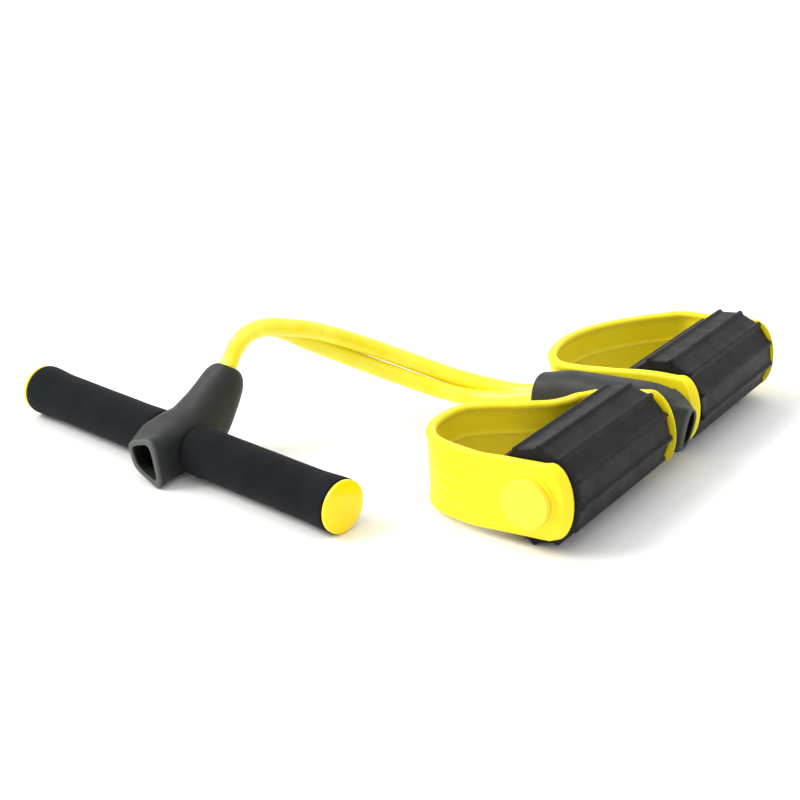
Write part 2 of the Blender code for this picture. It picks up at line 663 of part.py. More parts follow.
def tube_paths(handle_axis, pedal_axis):
    """Middle points of the two tubes, side by side along the pair's line."""
    bpy.context.view_layer.update()
    route = inside_route(HANDLE_NECK_REACH, HANDLE_NECK_RISE, handle_axis, True)
    route += [Vector((PEDAL_CENTRE[0] + x, PEDAL_CENTRE[1] + y, z)) for x, y, z in FREE_ROUTE]
    route += inside_route(PEDAL_NECK_REACH, PEDAL_NECK_RISE, pedal_axis, False)
    line = spline(route, TUBE_STEP)
    paths = ([], [])
    last = len(line) - 1
    for i, point in enumerate(line):
        along = (line[min(i + 1, last)] - line[max(i - 1, 0)]).normalized()
        left = Vector((0.0, 0.0, 1.0)).cross(along).normalized()
        up = along.cross(left)
        share = i / last
        roll = math.radians(between(PAIR_ROLL, share)[0])
        spread = STOPPER_SPACING + (TUBE_SPACING - STOPPER_SPACING) * ease(min(share, 1 - share) / 0.10)
        aside = (left * math.cos(roll) + up * math.sin(roll)) * spread / 2
        paths[0].append(point + aside)
        paths[1].append(point - aside)
    return paths


def tube_curve(name, points, radius, resolution, collection, finish=None):
    curve = bpy.data.curves.new(name, "CURVE")
    curve.dimensions = "3D"
    curve.bevel_depth = radius
    curve.bevel_resolution = resolution
    curve.use_fill_caps = True
    line = curve.splines.new("POLY")
    line.points.add(len(points) - 1)
    for spot, place in zip(line.points, points):
        spot.co = (*place, 1.0)
    return new_object(name, curve, collection, None, finish)


def tube_cutter(name, points, collection):
    """A tube's bore: its line, a little longer at both ends, as a closed mesh."""
    first = points[0] + (points[0] - points[1]).normalized() * 0.003
    last = points[-1] + (points[-1] - points[-2]).normalized() * 0.003
    curve = tube_curve(f"{name}_line", [first] + points[1:-1] + [last], TUBE_DIAMETER / 2 + TUBE_BORE_FIT,
                       3, collection)
    bpy.context.view_layer.update()
    depsgraph = bpy.context.evaluated_depsgraph_get()
    mesh = bpy.data.meshes.new_from_object(curve.evaluated_get(depsgraph))
    shape = bmesh.new()
    shape.from_mesh(mesh)
    bmesh.ops.remove_doubles(shape, verts=shape.verts[:], dist=0.00001)
    shape.to_mesh(mesh)
    shape.free()
    bore = new_object(name, mesh, collection)
    bore.matrix_world = curve.matrix_world
    bpy.data.objects.remove(curve, do_unlink=True)
    return as_cutter(bore)


def stopper(name, end, inward, collection, finish):
    """Round plug head against a tube's end, wider than the bore, so that the tube can't pull through."""
    radius = STOPPER_DIAMETER / 2
    profile = [(0.0, STOPPER_LENGTH), (radius - 0.0014, STOPPER_LENGTH), (radius, STOPPER_LENGTH - 0.0016)]
    profile += [(radius, 0.0), (0.0, 0.0)]
    plug = turned(name, profile, collection, None, finish, closed=False, steps=16)
    out = (end - inward).normalized()
    plug.location = end + out * SEAT
    plug.rotation_euler = out.to_track_quat("Z", "Y").to_euler()
    return plug


def main():
    clear_scene()
    parts, cutters = make_collections()
    foam = material("black_foam", (0.020, 0.022, 0.027), 0.85)
    roller_foam = material("charcoal_foam", (0.050, 0.050, 0.053), 0.75)
    rubber = material("grey_rubber", (0.050, 0.058, 0.052), 0.60)
    yellow_rubber = material("yellow_rubber", (0.95, 0.78, 0.02), 0.45)
    yellow_gloss = material("yellow_gloss", (0.98, 0.74, 0.01), 0.15)
    latex = material("yellow_latex", (0.95, 0.90, 0.08), 0.25)
    steel = material("zinc_plated_steel", (0.60, 0.61, 0.62), 0.30, 1.0)
    nylon = material("black_nylon", (0.03, 0.03, 0.03), 0.50)

    pedal_axis = axis_empty("pedal_axis", PEDAL_CENTRE, AXLE_HEIGHT, 0.0, parts)
    handle_axis = axis_empty("handle_axis", HANDLE_CENTRE, BAR_HEIGHT, HANDLE_HEADING, parts)

    bar_length = HANDLE_LENGTH - 2 * (HANDLE_CAP_EDGE + HANDLE_CAP_DOME + SEAT)
    steel_tube("handle_bar", bar_length, BAR_DIAMETER, BAR_WALL, parts, handle_axis, steel)
    for name, side in (("near", 1), ("far", -1)):
        grip(f"grip_{name}", side, parts, handle_axis, foam)
        handle_cap(f"handle_cap_{name}", side, parts, handle_axis, yellow_gloss)

    steel_tube("pedal_axle", 2 * AXLE_END, BAR_DIAMETER, AXLE_WALL, parts, pedal_axis, steel)
    near_path = strap_path(NEAR_LINE, STRAP_NEAR_LOOP, STRAP_NEAR_INNER_REACH, STRAP_NEAR_OUTER_REACH)
    far_path = strap_path(FAR_LINE, STRAP_FAR_LOOP, STRAP_FAR_INNER_REACH, STRAP_FAR_OUTER_REACH)
    sides = (("near", -1, ROLLER_NEAR_TURN, near_path, NEAR_HANG),
             ("far", 1, ROLLER_FAR_TURN, far_path, FAR_HANG))
    for name, side, turn, path, hang in sides:
        roller(f"roller_{name}", side, turn, parts, pedal_axis, roller_foam)
        roller_core(f"roller_core_{name}", side, parts, pedal_axis, nylon)
        strap(f"foot_strap_{name}", side, path, hang, parts, cutters, pedal_axis, yellow_rubber)
        pedal_cap(f"pedal_cap_{name}", side, parts, pedal_axis, yellow_gloss)

    paths = tube_paths(handle_axis, pedal_axis)
    bores = []
    for name, points in zip(("upper", "lower"), paths):
        tube_curve(f"tube_{name}", points, TUBE_DIAMETER / 2, 3, parts, latex)
        bores.append(tube_cutter(f"bore_{name}", points, cutters))
        stopper(f"handle_stopper_{name}", points[0], points[1], parts, yellow_gloss)
        stopper(f"pedal_stopper_{name}", points[-1], points[-2], parts, yellow_gloss)

    handle_mouth = (HANDLE_MOUTH_WIDTH, HANDLE_MOUTH_TOP, HANDLE_MOUTH_BOTTOM, HANDLE_MOUTH_TAPER,
                    HANDLE_MOUTH_SQUARENESS)
    pedal_mouth = (PEDAL_MOUTH_WIDTH, PEDAL_MOUTH_TOP, PEDAL_MOUTH_BOTTOM, PEDAL_MOUTH_TAPER,
                   PEDAL_MOUTH_SQUARENESS)
    handle_neck = (HANDLE_NECK_REACH, HANDLE_NECK_RISE, HANDLE_NECK_HEIGHT, HANDLE_NECK_DOME)
    pedal_neck = (PEDAL_NECK_REACH, PEDAL_NECK_RISE, PEDAL_NECK_HEIGHT, PEDAL_NECK_DOME)
    connector("handle_connector", handle_neck, HANDLE_UNDERSIDE, 1, HANDLE_MOUTH_SKEW, handle_mouth, bores,
              parts, cutters, handle_axis, rubber)
    connector("pedal_connector", pedal_neck, PEDAL_UNDERSIDE, -1, 0.0, pedal_mouth, bores,
              parts, cutters, pedal_axis, rubber)


main()
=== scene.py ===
import math

import bpy
from mathutils import Matrix, Vector


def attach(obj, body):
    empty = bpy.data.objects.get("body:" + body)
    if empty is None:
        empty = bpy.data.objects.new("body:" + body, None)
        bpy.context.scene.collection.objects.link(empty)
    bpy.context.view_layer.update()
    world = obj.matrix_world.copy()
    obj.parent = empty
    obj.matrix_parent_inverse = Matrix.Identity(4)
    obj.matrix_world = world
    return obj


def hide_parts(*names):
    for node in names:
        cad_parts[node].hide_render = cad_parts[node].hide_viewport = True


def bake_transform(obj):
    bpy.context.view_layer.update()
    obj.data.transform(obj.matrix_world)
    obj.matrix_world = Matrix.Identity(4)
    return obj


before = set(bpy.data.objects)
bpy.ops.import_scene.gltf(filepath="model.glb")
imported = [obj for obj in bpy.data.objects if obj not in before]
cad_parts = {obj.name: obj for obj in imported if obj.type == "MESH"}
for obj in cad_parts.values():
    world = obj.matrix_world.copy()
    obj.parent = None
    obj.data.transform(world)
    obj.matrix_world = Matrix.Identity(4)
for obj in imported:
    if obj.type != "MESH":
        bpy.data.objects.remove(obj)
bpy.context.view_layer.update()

# Camera, table and light
# The band lies on a white studio table, lit by a broad soft light from the left and by a pale room
# that is brightest above and behind on the left. The camera looks down on it over the near pedal.
CAMERA_PLACE = Vector((0.5266, -0.7913, 0.391))
CAMERA_AHEAD = Vector((-0.5111, 0.7752, -0.3713))
CAMERA_UP = Vector((-0.2016, 0.3117, 0.9285))
CAMERA_LENS = 70.77
CAMERA_FILM = 36
CAMERA_SIGHT = 200
TABLE_SIZE = 120.0
TABLE_GRAIN = 3.0
TABLE_COLOURS = ((0.925, 0.93, 0.94), (0.95, 0.945, 0.935))
TOWARDS_LIGHT = Vector((-0.62, -0.42, 0.70))
LIGHT_STRENGTH = 2.0
LIGHT_SPREAD = math.radians(32)
LIGHT_COLOUR = (1.0, 0.985, 0.96)
ROOM_BRIGHT_WAY = (-0.50, 0.28, 0.82)
ROOM_DIM, ROOM_BRIGHT = 0.36, 1.34
PATTERN_LOW, PATTERN_HIGH = 0.3, 0.7
MIX_SHARE, MIX_FIRST, MIX_SECOND, MIX_RESULT = 0, 6, 7, 2

bpy.context.scene.view_settings.view_transform = "Standard"

bpy.ops.object.camera_add(location=CAMERA_PLACE)
camera = bpy.context.active_object
camera_right = CAMERA_AHEAD.cross(CAMERA_UP).normalized()
camera_over = camera_right.cross(CAMERA_AHEAD).normalized()
camera_turn = Matrix((camera_right, camera_over, -CAMERA_AHEAD.normalized())).transposed()
camera.rotation_euler = camera_turn.to_euler()
camera.data.lens = CAMERA_LENS
camera.data.sensor_width = CAMERA_FILM
camera.data.clip_end = CAMERA_SIGHT
bpy.context.scene.camera = camera

bpy.ops.object.light_add(type="SUN")
window = bpy.context.active_object
window.data.energy = LIGHT_STRENGTH
window.data.angle = LIGHT_SPREAD
window.data.color = LIGHT_COLOUR
window.rotation_euler = TOWARDS_LIGHT.to_track_quat("Z", "Y").to_euler()


def finish_of(name, colour, roughness, **values):
    """A new material with plain values set on its shader; gives it, its nodes and the shader."""
    made = bpy.data.materials.new(name)
    made.use_nodes = True
    shader = made.node_tree.nodes["Principled BSDF"]
    shader.inputs["Base Color"].default_value = (*colour, 1.0)
    shader.inputs["Roughness"].default_value = roughness
    for key, value in values.items():
        shader.inputs[key.replace("_", " ")].default_value = value
    return made, made.node_tree, shader


def put(tree, kind, settings=None, **sockets):
    """Adds a node; each socket gets a value, or a link where another node's output is given."""
    item = tree.nodes.new(kind)
    for key, value in (settings or {}).items():
        setattr(item, key, value)
    for key, value in sockets.items():
        socket = item.inputs[key.replace("_", " ")]
        if isinstance(value, bpy.types.NodeSocket):
            tree.links.new(value, socket)
        else:
            socket.default_value = value
    return item


def mixed(tree, share, first, second):
    """One colour blended into another by a pattern's share."""
    item = tree.nodes.new("ShaderNodeMix")
    item.data_type = "RGBA"
    for index, value in ((MIX_SHARE, share), (MIX_FIRST, first), (MIX_SECOND, second)):
        if isinstance(value, bpy.types.NodeSocket):
            tree.links.new(value, item.inputs[index])
        else:
            item.inputs[index].default_value = (*value, 1.0)
    return item.outputs[MIX_RESULT]


def grain_of(tree, fineness, detail=3.0, rough=0.5, stretch=None):
    """Noise on the piece's own place, as a share; stretch draws it out along an axis."""
    place = put(tree, "ShaderNodeTexCoord").outputs["Object"]
    if stretch:
        place = put(tree, "ShaderNodeMapping", Vector=place, Scale=stretch).outputs[0]
    return put(tree, "ShaderNodeTexNoise", Vector=place, Scale=fineness, Detail=detail,
               Roughness=rough).outputs[0]


def between(tree, share, low=PATTERN_LOW, high=PATTERN_HIGH, to_low=0.0, to_high=1.0):
    """A share of a pattern spread to new limits."""
    return put(tree, "ShaderNodeMapRange", Value=share, From_Min=low, From_Max=high,
               To_Min=to_low, To_Max=to_high).outputs[0]


def coloured(shader, share, first, second):
    """Lets a pattern's share carry the finish from one colour to another."""
    tree = shader.id_data
    tree.links.new(mixed(tree, share, first, second), shader.inputs["Base Color"])


def roughened(shader, share, smooth, rough, low=PATTERN_LOW, high=PATTERN_HIGH):
    """Lets a pattern's share carry the finish from smooth to rough."""
    tree = shader.id_data
    tree.links.new(between(tree, share, low, high, smooth, rough), shader.inputs["Roughness"])


def raised(shader, height, depth, strength, under=None):
    """Bumps the surface by a pattern, depth in metres, on top of another bump where one is given."""
    tree = shader.id_data
    bump = put(tree, "ShaderNodeBump", Strength=strength, Distance=depth, Height=height)
    if under is not None:
        tree.links.new(under, bump.inputs["Normal"])
    tree.links.new(bump.outputs["Normal"], shader.inputs["Normal"])
    return bump.outputs["Normal"]


room = bpy.data.worlds.new("room")
room.use_nodes = True
room_tree = room.node_tree
room_way = put(room_tree, "ShaderNodeVectorMath", {"operation": "DOT_PRODUCT"})
room_tree.links.new(put(room_tree, "ShaderNodeTexCoord").outputs["Generated"], room_way.inputs[0])
room_way.inputs[1].default_value = ROOM_BRIGHT_WAY
room_light = room_tree.nodes["Background"]
room_light.inputs["Color"].default_value = (1.0, 1.0, 1.0, 1.0)
room_tree.links.new(between(room_tree, room_way.outputs["Value"], -1.0, 1.0, ROOM_DIM, ROOM_BRIGHT),
                    room_light.inputs["Strength"])
bpy.context.scene.world = room

paper, paper_tree, paper_shader = finish_of("white_table", (0.94, 0.94, 0.94), 0.9)
paper_clouds = between(paper_tree, grain_of(paper_tree, TABLE_GRAIN))
coloured(paper_shader, paper_clouds, *TABLE_COLOURS)
bpy.ops.mesh.primitive_plane_add(size=TABLE_SIZE, location=(0.0, 0.0, 0.0))
table = bpy.context.active_object
table.name = "table"
table.data.materials.append(paper)


# Elastic tubes
# Two soft latex tubes carry the pull. They run side by side from plug to plug, through both
# connectors and over the steel bar and axle, and twist half round each other on the way.
HANDLE = Matrix.Translation((-0.0625, -0.1379, 0.0161)) @ Matrix.Rotation(math.radians(-98.4), 4, "Z")
PEDALS = Matrix.Translation((0.1665, 0.0233, 0.02935))
TUBE_DIAMETER = 0.011
NECK_SQUEEZE = 0.10
NECK_SQUEEZE_REACH = 0.07
NECK_TIPS = (0.165, 0.775)
TUBE_SPACING = 0.0114
PLUG_SPACING = 0.0122
PLUG_SPACING_REACH = 0.10
TUBE_STEP = 0.0022
TUBE_SMOOTHINGS = 6
TUBE_SIDES = 36
TUBE_OVER_BAR = 0.0136
TUBE_END_HEIGHT = 0.0094
TUBE_END_REACH = 0.0158
# A neck is (reach from the bar or axle, rise). The pair's way in it is rows of (share of the
# reach, share of the height over the bar, share of the tip's height).
HANDLE_NECK = (0.053, math.radians(41.5))
PEDAL_NECK = (0.072, math.radians(-1.0))
PAIR_IN_MOUTH = (0.62, 0.3, 0.7)
PAIR_IN_NECK = ((0.22, 0.86, 0.03), (0.46, 0.42, 0.28), (0.74, 0.06, 0.62), (0.98, 0.0, 0.98))
FREE_ROUTE = [(-0.2238, -0.1163, 0.0585), (-0.2224, -0.1100, 0.0662), (-0.2202, -0.1015, 0.0708),
              (-0.2176, -0.0933, 0.0712), (-0.2130, -0.0817, 0.0692), (-0.2022, -0.0627, 0.0600),
              (-0.1868, -0.0430, 0.0484), (-0.1663, -0.0254, 0.0368), (-0.1448, -0.0135, 0.0280),
              (-0.1261, -0.0068, 0.0232), (-0.1060, -0.0025, 0.0220), (-0.0888, -0.0005, 0.0232)]
PAIR_ROLL = [(0.0, 170.0), (0.035, 178.0), (0.07, 175.0), (0.14, 136.0), (0.18, 131.0),
             (0.22, 140.0), (0.25, 154.0), (0.29, 160.0), (0.36, 125.0), (0.51, 72.0),
             (0.63, 42.0), (0.75, 2.0), (0.965, 0.0), (1.0, -10.0)]
CURVE_STEPS = 32
WELD = 0.000001
LATEX_COLOURS = ((0.98, 0.83, 0.003), (1.0, 0.93, 0.07))
LATEX_ROUGHNESS = (0.26, 0.42)


def runs_along(line):
    """How far along a line each of its points lies."""
    runs = [0.0]
    for a, b in zip(line, line[1:]):
        runs.append(runs[-1] + (b - a).length)
    return runs


def heading(line, index):
    """The way in which a line runs at one of its points."""
    return (line[min(index + 1, len(line) - 1)] - line[max(index - 1, 0)]).normalized()


def even_line(points, spacing):
    """Points at an even spacing on a smooth curve through the given ones."""
    given = [Vector(p) for p in points]
    ends = [given[0] * 2 - given[1]] + given + [given[-1] * 2 - given[-2]]
    dense = []
    for a, b, c, d in zip(ends, ends[1:], ends[2:], ends[3:]):
        for i in range(CURVE_STEPS):
            t = i / CURVE_STEPS
            dense.append(0.5 * (2 * b + (c - a) * t + (2 * a - 5 * b + 4 * c - d) * t * t
                                + (3 * b - a - 3 * c + d) * t * t * t))
    dense.append(given[-1])
    total = runs_along(dense)[-1]
    count = max(2, round(total / spacing))
    even = [dense[0]]
    run = 0.0
    for p, q in zip(dense, dense[1:]):
        step = (q - p).length
        while step > 0 and run + step >= total / count * len(even) and len(even) < count:
            even.append(p.lerp(q, (total / count * len(even) - run) / step))
        run += step
    even.append(dense[-1])
    return even


def smooth_step(t):
    """A share that starts and ends gently, kept between 0 and 1."""
    t = min(max(t, 0.0), 1.0)
    return t * t * (3.0 - 2.0 * t)


def slope_at(rows, index, column):
    """How fast a column changes at a row, levelled out at peaks so that the curve never overshoots."""
    if index in (0, len(rows) - 1):
        return 0.0
    before, here, after = rows[index - 1], rows[index], rows[index + 1]
    rise = (here[column] - before[column]) / (here[0] - before[0])
    fall = (after[column] - here[column]) / (after[0] - here[0])
    return 2 * rise * fall / (rise + fall) if rise * fall > 0 else 0.0


def read_rows(rows, place):
    """Values at a place along rows of (place, values...), on a smooth curve through them."""
    if place <= rows[0][0]:
        return rows[0][1:]
    if place >= rows[-1][0]:
        return rows[-1][1:]
    index = max(i for i, row in enumerate(rows[:-1]) if row[0] <= place)
    low, high = rows[index], rows[index + 1]
    gap = high[0] - low[0]
    t = (place - low[0]) / gap
    values = []
    for column in range(1, len(low)):
        start, end = slope_at(rows, index, column) * gap, slope_at(rows, index + 1, column) * gap
        values.append((2 * t ** 3 - 3 * t * t + 1) * low[column] + (t ** 3 - 2 * t * t + t) * start
                      + (3 * t * t - 2 * t ** 3) * high[column] + (t ** 3 - t * t) * end)
    return values


def line_in_connector(neck, place):
    """The pair's line from its plugs in the mouth, over the bar, to the tip of the neck."""
    reach, rise = neck
    tip = (-reach * math.cos(rise), reach * math.sin(rise))
    over, low = TUBE_OVER_BAR, TUBE_END_HEIGHT
    out, high, rest = PAIR_IN_MOUTH
    points = [(TUBE_END_REACH, low), (TUBE_END_REACH * out, over * high + low * rest), (0.0, over)]
    points += [(tip[0] * out, over * high + tip[1] * up) for out, high, up in PAIR_IN_NECK]
    return [place @ Vector((x, 0.0, z)) for x, z in points]


def squeezed(share):
    """What is left of the tubes' size and spacing where the tips of the two necks press them."""
    near_tips = sum(smooth_step(1.0 - abs(share - tip) / NECK_SQUEEZE_REACH) for tip in NECK_TIPS)
    return 1.0 - NECK_SQUEEZE * near_tips


def tube_lines():
    """The middle lines of the two tubes, side by side."""
    route = line_in_connector(HANDLE_NECK, HANDLE)
    route += [Vector((PEDALS.translation.x + x, PEDALS.translation.y + y, z)) for x, y, z in FREE_ROUTE]
    route += reversed(line_in_connector(PEDAL_NECK, PEDALS))
    line = even_line(route, TUBE_STEP)
    for _ in range(TUBE_SMOOTHINGS):
        line = [line[0]] + [(a + b * 2 + c) / 4 for a, b, c in zip(line, line[1:], line[2:])] + [line[-1]]
    last = len(line) - 1
    lines = ([], [])
    for i, point in enumerate(line):
        along = heading(line, i)
        left = Vector((0.0, 0.0, 1.0)).cross(along).normalized()
        roll = math.radians(read_rows(PAIR_ROLL, i / last)[0])
        closed = smooth_step(min(i, last - i) / last / PLUG_SPACING_REACH)
        spread = (PLUG_SPACING + (TUBE_SPACING - PLUG_SPACING) * closed) * squeezed(i / last)
        aside = (left * math.cos(roll) + along.cross(left) * math.sin(roll)) * spread / 2
        lines[0].append(point + aside)
        lines[1].append(point - aside)
    return lines


def finished_skin(sleeve):
    """Ends an edit: all but a sleeve get both ends filled, and all faces turn outwards."""
    if not sleeve:
        bpy.ops.mesh.select_mode(type="EDGE")
        bpy.ops.mesh.select_all(action="DESELECT")
        bpy.ops.mesh.select_non_manifold()
        bpy.ops.mesh.fill_holes(sides=0)
        bpy.ops.mesh.select_mode(type="VERT")
    bpy.ops.mesh.select_all(action="SELECT")
    bpy.ops.mesh.normals_make_consistent(inside=False)
    bpy.ops.object.mode_set(mode="OBJECT")


def skinned(name, sections, sleeve=False):
    """A skin over rings of points: a flat grid, one row to a ring, wrapped round and welded.

    A sleeve's last ring lies on its first.
    """
    rows, across = len(sections), len(sections[0])
    bpy.ops.object.select_all(action="DESELECT")
    bpy.ops.mesh.primitive_grid_add(x_subdivisions=across, y_subdivisions=rows - 1)
    skin = bpy.context.active_object
    skin.name = skin.data.name = name
    for index, vertex in enumerate(skin.data.vertices):
        row, column = divmod(index, across + 1)
        vertex.co = sections[row][column % across]
    bpy.ops.object.mode_set(mode="EDIT")
    bpy.ops.mesh.select_all(action="SELECT")
    bpy.ops.mesh.remove_doubles(threshold=WELD)
    finished_skin(sleeve)
    return skin


def picked(piece):
    """Selects one piece alone."""
    bpy.ops.object.select_all(action="DESELECT")
    bpy.context.view_layer.objects.active = piece
    piece.select_set(True)


def softened(piece, angle=40):
    """Shades a piece smooth up to an edge of that many degrees."""
    picked(piece)
    bpy.ops.object.shade_smooth_by_angle(angle=math.radians(angle))
    return piece


def round_sections(line, radius, sides):
    """Circles along a line, each as wide as radius says at its share of it, and none twisted."""
    last = len(line) - 1
    side = (line[1] - line[0]).orthogonal().normalized()
    rings = []
    for i, point in enumerate(line):
        along = heading(line, i)
        side = (side - along * side.dot(along)).normalized()
        over = along.cross(side)
        size = radius(i / last)
        rings.append([point + (side * math.cos(a) + over * math.sin(a)) * size
                      for a in (2 * math.pi * k / sides for k in range(sides))])
    return rings


def tube_radius(share):
    """The tube's radius at a share of its length."""
    return TUBE_DIAMETER / 2 * squeezed(share)


latex, latex_tree, latex_shader = finish_of(
    "yellow_latex", (0.97, 0.90, 0.06), 0.34, Subsurface_Weight=0.35, Subsurface_Radius=(1.0, 0.9, 0.15),
    Subsurface_Scale=0.006, Coat_Weight=0.25, Coat_Roughness=0.2)
latex_bloom = between(latex_tree, grain_of(latex_tree, 55.0, detail=4.0), low=0.35, high=0.75)
coloured(latex_shader, latex_bloom, *LATEX_COLOURS)
roughened(latex_shader, grain_of(latex_tree, 160.0), *LATEX_ROUGHNESS)
raised(latex_shader, grain_of(latex_tree, 900.0, detail=2.0), depth=0.00004, strength=0.5)

for tube_name, tube_line in zip(("upper", "lower"), tube_lines()):
    tube = skinned(f"elastic_tube_{tube_name}", round_sections(tube_line, tube_radius, TUBE_SIDES))
    softened(tube)
    tube.data.materials.append(latex)
    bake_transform(tube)
    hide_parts(f"tube_{tube_name}")


# Handle bar, grips and caps
# Two sleeves of closed-cell foam are pushed over a plated steel tube, and a glossy moulded cap is
# knocked into each end of it. The foam swells a little where the caps hold it.
HANDLE_LENGTH = 0.2740
BAR_BORE = 0.0073
GRIP_START = 0.0159
GRIP_WAIST = 0.0151
GRIP_END = 0.0161
GRIP_FLARE = 0.020
GRIP_CORNER = 0.0016
GRIP_SWELL = 0.0005
GRIP_SWELL_REACH = 0.022
GRIP_INNER_CORNER = 0.0022
FLARE_STEPS, WAIST_STEPS, SWELL_STEPS = 8, 16, 6
CAP_GAP = 0.0003
CAP_DOME = 0.0012
CAP_DOME_SHARES = (0.04, 0.2, 0.4, 0.55, 0.68, 0.78, 0.86, 0.92, 0.96)
CAP_DOME_POWER = 2.8
CAP_RIM_WIDE, CAP_RIM_HIGH, CAP_RIM_DROP = 0.985, 0.05, 0.0002
CAP_EDGE = 0.0020
CAP_INSET = 0.0006
STEM_RADIUS = 0.0055
STEM_LENGTH = 0.016
STEM_STRAIGHT = 0.7
STEM_TAPER = 0.0014
FOAM_SIDES = 96
FOAM_WANDER = (0.030, 0.00025)
RING_WELD = 0.00001
FOAM_CELLS = 1900.0
FOAM_COLOURS = ((0.006, 0.0068, 0.0088), (0.0096, 0.0106, 0.0130))
FOAM_DUST = (0.030, 0.032, 0.035)
GLOSS_COLOURS = ((0.98, 0.71, 0.003), (1.0, 0.77, 0.006))
GLOSS_ROUGHNESS = (0.12, 0.26)
ZINC_COLOURS = ((0.55, 0.56, 0.57), (0.68, 0.69, 0.68))
ZINC_ROUGHNESS = (0.22, 0.42)


def turned(name, rings, sides, sleeve=False):
    """A round piece about Z, drawn up ring by ring; rings are (radius, height)."""
    radius, height = rings[0]
    bpy.ops.object.select_all(action="DESELECT")
    bpy.ops.mesh.primitive_circle_add(vertices=sides, radius=radius, location=(0.0, 0.0, height))
    piece = bpy.context.active_object
    piece.name = piece.data.name = name
    bpy.ops.object.transform_apply(location=True)
    bpy.ops.object.mode_set(mode="EDIT")
    bpy.ops.mesh.select_all(action="SELECT")
    for wide, high in rings[1:]:
        bpy.ops.mesh.extrude_region_move(TRANSFORM_OT_translate={"value": (0.0, 0.0, high - height)})
        bpy.ops.transform.resize(value=(wide / radius, wide / radius, 1.0), center_override=(0.0, 0.0, high))
        radius, height = wide, high
    bpy.ops.mesh.select_all(action="SELECT")
    if sleeve:
        bpy.ops.mesh.remove_doubles(threshold=RING_WELD)
    finished_skin(sleeve)
    return piece


def settled(piece, place):
    """Puts a piece in its place and applies it, so that the object itself stays at the origin."""
    picked(piece)
    piece.matrix_world = place
    bpy.ops.object.transform_apply(location=True, rotation=True, scale=True)
    return piece


def laid(piece, place, along=1, y=0.0):
    """Lays a piece turned about Z along a bar's Y, pointing up or down it."""
    lay = Matrix.Rotation(math.radians(-90 * along), 4, "X")
    return settled(piece, place @ Matrix.Translation((0.0, y, 0.0)) @ lay)


def rounded(radius, height, size, steps, below=False):
    """Rings round a corner at a radius and height, from its flat end outwards, or below it inwards."""
    first, middle = (0, height + size) if below else (90, height - size)
    angles = [math.radians(first - 90 * i / steps) for i in range(steps + 1)]
    return [(radius - size + size * math.cos(a), middle + size * math.sin(a)) for a in angles]


def shares(count):
    """Even shares of a whole, after its start."""
    return [step / count for step in range(1, count + 1)]


def uneven(piece, size, depth):
    """Lets a surface wander in a little, as soft material does, and never out."""
    cloud = bpy.data.textures.new(f"{piece.name}_wander", "CLOUDS")
    cloud.noise_scale = size
    cloud.noise_depth = 2
    shift = piece.modifiers.new("wander", "DISPLACE")
    shift.texture = cloud
    shift.strength = depth
    shift.mid_level = 1.0
    bpy.context.view_layer.objects.active = piece
    bpy.ops.object.modifier_apply(modifier=shift.name)
    return piece


foam, foam_tree, foam_shader = finish_of("black_foam", (0.010, 0.011, 0.014), 0.9, Specular_IOR_Level=0.11,
                                         Sheen_Weight=0.03, Sheen_Roughness=0.5)
foam_cells = put(foam_tree, "ShaderNodeTexVoronoi", Scale=FOAM_CELLS,
                 Vector=put(foam_tree, "ShaderNodeTexCoord").outputs["Object"])
foam_dust = between(foam_tree, foam_cells.outputs["Color"], low=0.93, high=0.96)
foam_clouds = between(foam_tree, grain_of(foam_tree, 45.0, detail=4.0))
foam_base = mixed(foam_tree, foam_clouds, *FOAM_COLOURS)
coloured(foam_shader, foam_dust, foam_base, FOAM_DUST)
foam_waves = grain_of(foam_tree, 260.0, detail=5.0, rough=0.65)
foam_soft = raised(foam_shader, foam_waves, depth=0.0003, strength=0.35)
raised(foam_shader, foam_cells.outputs["Distance"], depth=0.00018, strength=0.5, under=foam_soft)

gloss, gloss_tree, gloss_shader = finish_of("yellow_gloss", (1.0, 0.74, 0.004), 0.16,
                                            Specular_IOR_Level=0.28, Coat_Weight=0.10, Coat_Roughness=0.06)
coloured(gloss_shader, between(gloss_tree, grain_of(gloss_tree, 70.0)), *GLOSS_COLOURS)
gloss_scuffs = grain_of(gloss_tree, 220.0, detail=6.0, rough=0.7)
roughened(gloss_shader, gloss_scuffs, *GLOSS_ROUGHNESS, low=0.35, high=0.75)
raised(gloss_shader, grain_of(gloss_tree, 300.0, detail=2.0), depth=0.00003, strength=0.3)

zinc, zinc_tree, zinc_shader = finish_of("zinc_plated_steel", (0.62, 0.63, 0.64), 0.3, Metallic=1.0)
coloured(zinc_shader, between(zinc_tree, grain_of(zinc_tree, 40.0)), *ZINC_COLOURS)
roughened(zinc_shader, grain_of(zinc_tree, 500.0, detail=4.0), *ZINC_ROUGHNESS)
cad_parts["handle_bar"].data.materials.clear()
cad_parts["handle_bar"].data.materials.append(zinc)

grip_length = HANDLE_LENGTH / 2 - CAP_EDGE - CAP_DOME - CAP_GAP - GRIP_START
flare_start = grip_length - GRIP_CORNER
waist_start = flare_start - GRIP_FLARE
grip_rings = rounded(GRIP_END, grip_length, GRIP_CORNER, 5)
grip_rings += [(GRIP_WAIST + (GRIP_END - GRIP_WAIST) * (1 - smooth_step(share)),
                flare_start - GRIP_FLARE * share) for share in shares(FLARE_STEPS)]
grip_rings += [(GRIP_WAIST, waist_start * (1 - share) + GRIP_SWELL_REACH * share)
               for share in shares(WAIST_STEPS)]
grip_rings += [(GRIP_WAIST + GRIP_SWELL * smooth_step(share),
                GRIP_SWELL_REACH - (GRIP_SWELL_REACH - GRIP_INNER_CORNER) * share)
               for share in shares(SWELL_STEPS)]
grip_rings += rounded(GRIP_WAIST + GRIP_SWELL, 0.0, GRIP_INNER_CORNER, 6, below=True)[1:]
